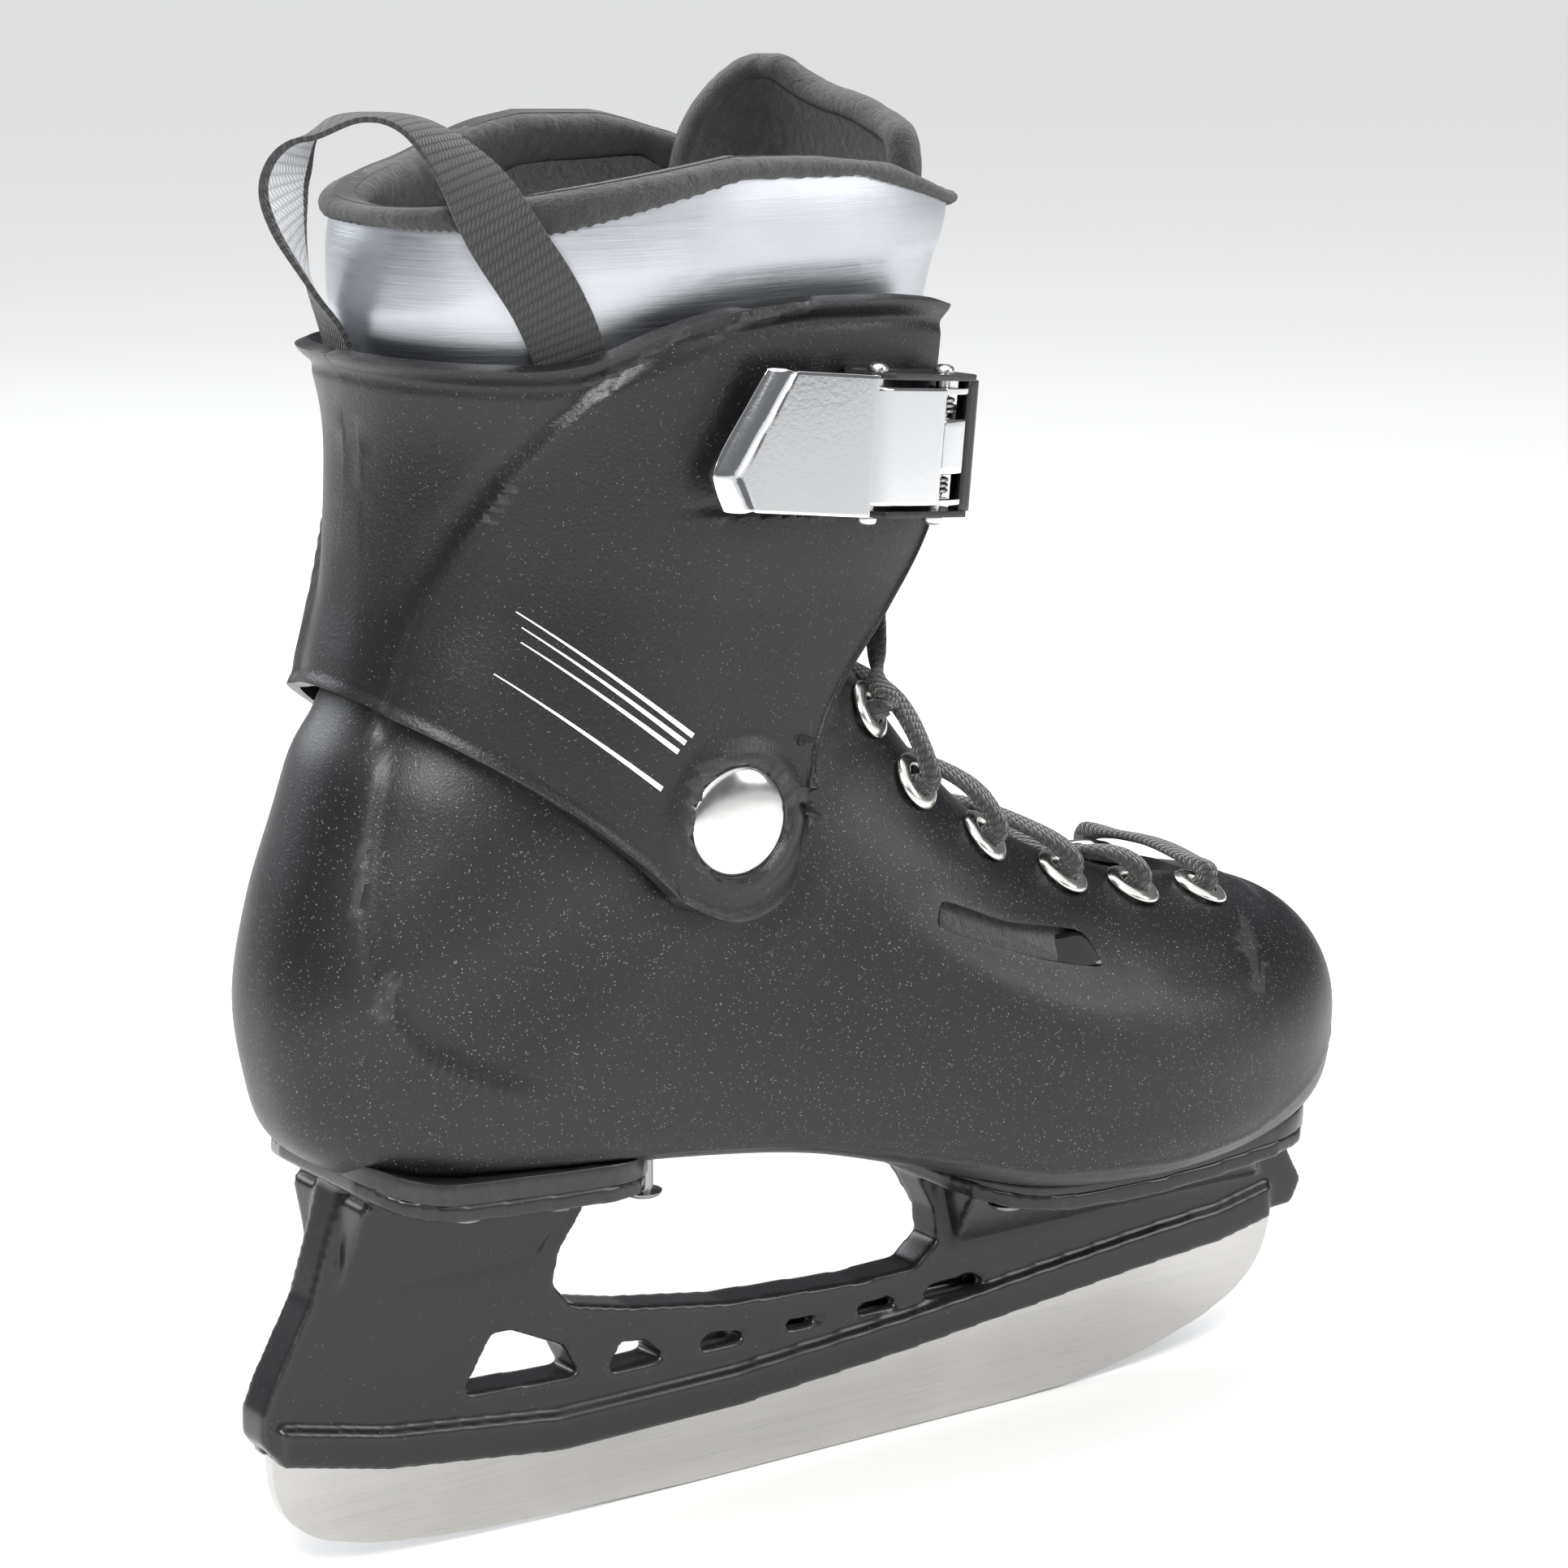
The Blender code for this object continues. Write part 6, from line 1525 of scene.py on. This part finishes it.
def build_buckle():
    place = buckle_frame()
    base = rounded_copy("buckle_base", "buckle_bracket", BUCKLE_NYLON, 0.45 * MM)
    wall_t = np.concatenate([np.linspace(5.2, 9.2, 6), np.full(8, 10.4)])
    wall_n = np.concatenate([np.full(1, 11.6), np.linspace(11.9, 11.4, 5), np.linspace(10.6, 5.6, 8)])
    u = np.linspace(-LEVER_HALF - 1.3 * MM, LEVER_HALF + 1.3 * MM, 20)
    local = np.stack([np.broadcast_to(wall_t[:, None] * MM, (14, 20)), -np.broadcast_to(wall_n[:, None] * MM, (14, 20)),
                      np.broadcast_to(u[None], (14, 20))], -1)
    points = carried(place, local)
    front = skin("buckle_front", points, 1.3 * MM, BUCKLE_NYLON, flip=True, rim=0.4 * MM)
    apply_all(front)
    settle(front, "cuff", "black_nylon")
    settle(base, "cuff", "black_nylon", "buckle_base", angle=35)
    for name, t, lift in (("lever", 0.0, LEVER_LIFT), ("pawl", -PAWL_BACK, PAWL_LIFT)):
        spot = place @ Vector((t, -lift, 0))
        end = LEVER_HALF + 2.9 * MM
        half = [(0, end + 1.8 * MM), (1.0 * MM, end + 1.75 * MM), (1.8 * MM, end + 1.5 * MM),
                (2.25 * MM, end + 1.1 * MM), (2.4 * MM, end + 0.6 * MM), (2.4 * MM, end), (PIN_R, end)]
        pin = lathe(f"{name}_pin_turned", half + [(r, -z) for r, z in reversed(half)], NICKEL, 28)
        pin.data.transform(facing(spot, pin_line(place)))
        settle(pin, "cuff", "dark_steel", f"{name}_pin")
    for name, t in (("front", 5 * MM), ("rear", -9 * MM)):
        spot = place @ Vector((t, 0, 0))
        out = place.to_3x3() @ Vector((0, -1, 0))
        depth = cuff_line_in_frame(place, t)
        top, low = 1.9 * MM, -depth - CUFF_WALL - 0.9 * MM
        profile = [(0, top + 0.9 * MM), (1.2 * MM, top + 0.85 * MM), (2.2 * MM, top + 0.6 * MM), (2.8 * MM, top),
                   (1.5 * MM, top), (1.5 * MM, low), (2.8 * MM, low), (2.6 * MM, low - 0.6 * MM), (0, low - 0.7 * MM)]
        rivet = lathe(f"buckle_rivet_turned_{name}", profile, DARK_STEEL, 28)
        rivet.data.transform(facing(spot, out))
        settle(rivet, "cuff", "dark_steel", f"buckle_rivet_{name}")
    build_lever(place)
    build_springs(place)
    pawl = rounded_copy("buckle_pawl", "pawl_body", BUCKLE_NYLON, 0.25 * MM)
    settle(pawl, "pawl", "black_nylon", "buckle_pawl", angle=35)
    build_ladder(place)


def build_ladder(place):
    rest = LADDER_LIFT
    straight = [(t * MM, rest) for t in np.arange(-24, 11.1, 0.25)]
    back = place.inverted()
    height = float((place @ Vector((25 * MM, 0, 0))).z)
    bend = []
    for angle in np.linspace(math.radians(150), math.radians(242), 140):
        share = np.clip((angle - math.radians(190)) / math.radians(40), 0, 1)
        before, here, after = cuff_at(angle + np.array([-0.01, 0, 0.01]), np.full(3, height))
        way = after - before
        normal = np.array([way[1], -way[0], 0]) / np.linalg.norm(way[:2])
        q = back @ Vector(here + normal * (rest + (LADDER_T / 2 + 0.8 * MM - rest) * share))
        bend.append((q.x, -q.y))
    bend = [q for q in bend if q[0] > 15 * MM]
    path = np.array([place @ Vector((t, -n, 0)) for t, n in straight + bend])
    length = np.concatenate([[0], np.cumsum(np.linalg.norm(np.diff(path, axis=0), axis=1))])
    spaced = np.arange(0, length[-1], 0.25 * MM)
    path = np.stack([np.interp(spaced, length, path[:, k]) for k in range(3)], -1)
    axis = np.array(pin_line(place))
    ahead = np.gradient(path, axis=0)
    out = np.cross(ahead, np.tile(axis, (len(path), 1)))
    out /= np.linalg.norm(out, axis=1, keepdims=True)
    outer = 0.75 * MM + np.where(spaced < 95 * MM, 0.75 * MM * (1 - (spaced / (2.0 * MM)) % 1.0), 0)
    half = LADDER_HALF
    section = []
    for top in outer:
        section.append([(-half, -0.55 * MM), (-half + 0.25 * MM, -0.75 * MM), (half - 0.25 * MM, -0.75 * MM),
                        (half, -0.55 * MM), (half, 0.5 * MM), (half - 0.3 * MM, 0.75 * MM),
                        (half - 1.6 * MM, 0.75 * MM), (half - 1.7 * MM, top), (-half + 1.7 * MM, top),
                        (-half + 1.6 * MM, 0.75 * MM), (-half + 0.3 * MM, 0.75 * MM), (-half, 0.5 * MM)])
    strap = sweep("ladder_body", path, out, np.array(section), BUCKLE_NYLON)
    settle(strap, "cuff", "black_nylon", "ladder_strap", angle=30)
    frame["nodes"]["ladder_rivet"].data.materials[0] = DARK_STEEL


# ---------------------------------------------------------------- pull loop and lace
def build_pull_loop():
    points = smooth_line(np.array(LOOP_PATH) * MM, 150)
    across = smooth_line(LOOP_ACROSS, 150)
    ahead = np.gradient(points, axis=0)
    out = np.cross(ahead, across)
    out /= np.linalg.norm(out, axis=1, keepdims=True)
    across = np.cross(out, ahead)
    across /= np.linalg.norm(across, axis=1, keepdims=True)
    shares = np.linspace(-1, 1, 25)
    crown = 0.35 * MM * (1 - shares ** 2)
    grid = (points[:, None] + across[:, None] * (shares * WEBBING_W / 2)[None, :, None]
            + out[:, None] * crown[None, :, None])
    loop = skin("pull_loop_webbing", grid, 1.3 * MM, WEBBING, WEBBING_PALE, flip=True, offset=0.0, rim=0.35 * MM,
                inside=1)
    apply_all(loop)
    for polygon in loop.data.polygons:
        if polygon.material_index == 1:
            near = np.argmin(((points - np.array(polygon.center)) ** 2).sum(1))
            if abs(float(np.dot(np.array(polygon.center) - points[near], across[near]))) > WEBBING_W / 2 - 2.1 * MM:
                polygon.material_index = 0
    settle(loop, "cuff", "webbing", "pull_loop", angle=40)


def lace_strand(first_side, crossing):
    """One half of the lace, from the lowest eyelet up: each span leaves an eyelet, goes over the throat's edge,
    across, under the other edge and out through the next eyelet. Each point comes with how bunched the lace is."""
    spots = [(x * MM, y * MM) for x, y in EYELETS[::-1]]
    side, points = first_side, []
    for k, (x, y) in enumerate(spots):
        spot, normal = eyelet_place(len(EYELETS) - 1 - k, side)
        through = [(spot + normal * d, 1.0) for d in (UNDER, -2 * MM, OVER + 0.5 * MM)]
        points += through if k else through[::-1]
        if k == len(spots) - 1:
            break
        x_next, y_next = spots[k + 1]
        over_edge = (0.2, (y + y_next) / 2 - EDGE_IN + 1 * MM, OVER) if k else (0.3, y - EDGE_IN, UNDER)
        middle = (0.5, 0.1 * MM, crossing if k else UNDER + crossing / 3)
        for share, across, height in (over_edge, middle, (0.75, EDGE_IN - y_next, UNDER)):
            points.append((on_boot(x + (x_next - x) * share, side * across, height)[0], 0.0))
        side = -side
    return points + [(Vector((x, side * y, z)) * MM, 0.0) for x, y, z in LACE_TOP]


def build_lace():
    x, y = EYELETS[-1][0] * MM, (EYELETS[-1][1] - 9) * MM
    bar = [(on_boot(x + 1.5 * MM, -y, OVER)[0], 0.0), (on_boot(x + 2.5 * MM, 0.05 * MM, OVER)[0], 0.0),
           (on_boot(x + 1.5 * MM, y, OVER)[0], 0.0)]
    route = lace_strand(-1, CROSSING[0])[::-1] + bar + lace_strand(1, CROSSING[1])
    count = 900
    points = smooth_line(np.array([p for p, _ in route]), count)
    bunched = np.clip(smooth_line(np.array([[b] for _, b in route]), count)[:, 0], 0, 1)
    out = points - np.stack([points[:, 0] - 18 * MM, np.zeros(count), np.full(count, 60 * MM)], -1)
    out /= np.linalg.norm(out, axis=1, keepdims=True)
    ahead = np.gradient(points, axis=0)
    ahead /= np.linalg.norm(ahead, axis=1, keepdims=True)
    side = np.array([1.0, 0, 0])
    steep = np.abs((out * ahead).sum(1, keepdims=True)) ** 3
    out = out * (1 - steep) + side * steep
    for _ in range(12):
        out[1:-1] = (out[:-2] + out[1:-1] + out[2:]) / 3
    wide = (4.6 - 1.7 * bunched) * MM
    thick = (1.25 + 1.25 * bunched) * MM
    lace = sweep("lace_braid", points, out, flat_oval(wide, thick, 16, 2.6), LACE)
    settle(lace, "boot", "webbing", "lace", angle=60)


# ---------------------------------------------------------------- floor, light and camera
def build_studio():
    bpy.ops.mesh.primitive_plane_add(size=14, location=(0, 0, -0.0004))
    floor = bpy.context.active_object
    floor.name = "floor"
    material, tree, shader = start_material("pale floor", 0.75)
    shader.inputs["Base Color"].default_value = (0.88, 0.88, 0.88, 1)
    floor.data.materials.append(material)
    world = bpy.data.worlds.new("studio")
    bpy.context.scene.world = world
    world.use_nodes = True
    tree = world.node_tree
    sky = tree.nodes["Background"]
    sky.inputs[0].default_value = (0.93, 0.96, 1, 1)
    sky.inputs[1].default_value = 0.18
    pale = node(tree, "ShaderNodeBackground", [("Color", (1, 1, 1, 1)), ("Strength", 0.95)])
    seen = tree.nodes.new("ShaderNodeMixShader")
    tree.links.new(tree.nodes.new("ShaderNodeLightPath").outputs["Is Camera Ray"], seen.inputs[0])
    tree.links.new(sky.outputs[0], seen.inputs[1])
    tree.links.new(pale.outputs[0], seen.inputs[2])
    tree.links.new(seen.outputs[0], tree.nodes["World Output"].inputs["Surface"])
    sun = bpy.data.lights.new("wide", "SUN")
    sun.energy = 2.3
    sun.angle = math.radians(110)
    above = link_new("wide", sun)
    above.rotation_euler = (math.radians(14), math.radians(-10), 0)
    for name, place, size, power, colour in (
            ("key", (-0.75, -1.0, 1.15), 0.6, 24, (1, 0.99, 0.97)), ("front", (0.95, -1.0, 0.6), 0.5, 6, (1, 1, 1)),
            ("top", (0.1, 0.3, 1.6), 1.0, 10, (1, 1, 1)), ("back", (-0.5, 1.3, 0.9), 0.9, 14, (0.95, 0.97, 1))):
        light = bpy.data.lights.new(name, "AREA")
        light.energy = power
        light.size = size
        light.color = colour
        lamp = link_new(name, light)
        lamp.location = place
        lamp.rotation_euler = (Vector((0.02, 0, 0.17)) - Vector(place)).to_track_quat("-Z", "Y").to_euler()
    camera = bpy.data.cameras.new("camera")
    camera.lens = 105.6
    camera.sensor_width = 36
    eye = link_new("camera", camera)
    target = Vector((0.0179, 0, 0.1705))
    a, e = math.radians(35), math.radians(13)
    eye.location = target + 1.1 * Vector((-math.sin(a) * math.cos(e), -math.cos(a) * math.cos(e), math.sin(e)))
    eye.rotation_euler = (target - eye.location).to_track_quat("-Z", "Y").to_euler()
    bpy.context.scene.camera = eye
    bpy.context.scene.view_settings.view_transform = "Standard"


build_studio()
build_shell()
build_cuff()
build_runner()
build_holder()
build_plate_seats()
build_rivets()
build_eyelets()
build_pivots()
build_vents()
build_liner()
build_tongue()
build_buckle()
build_pull_loop()
build_lace()
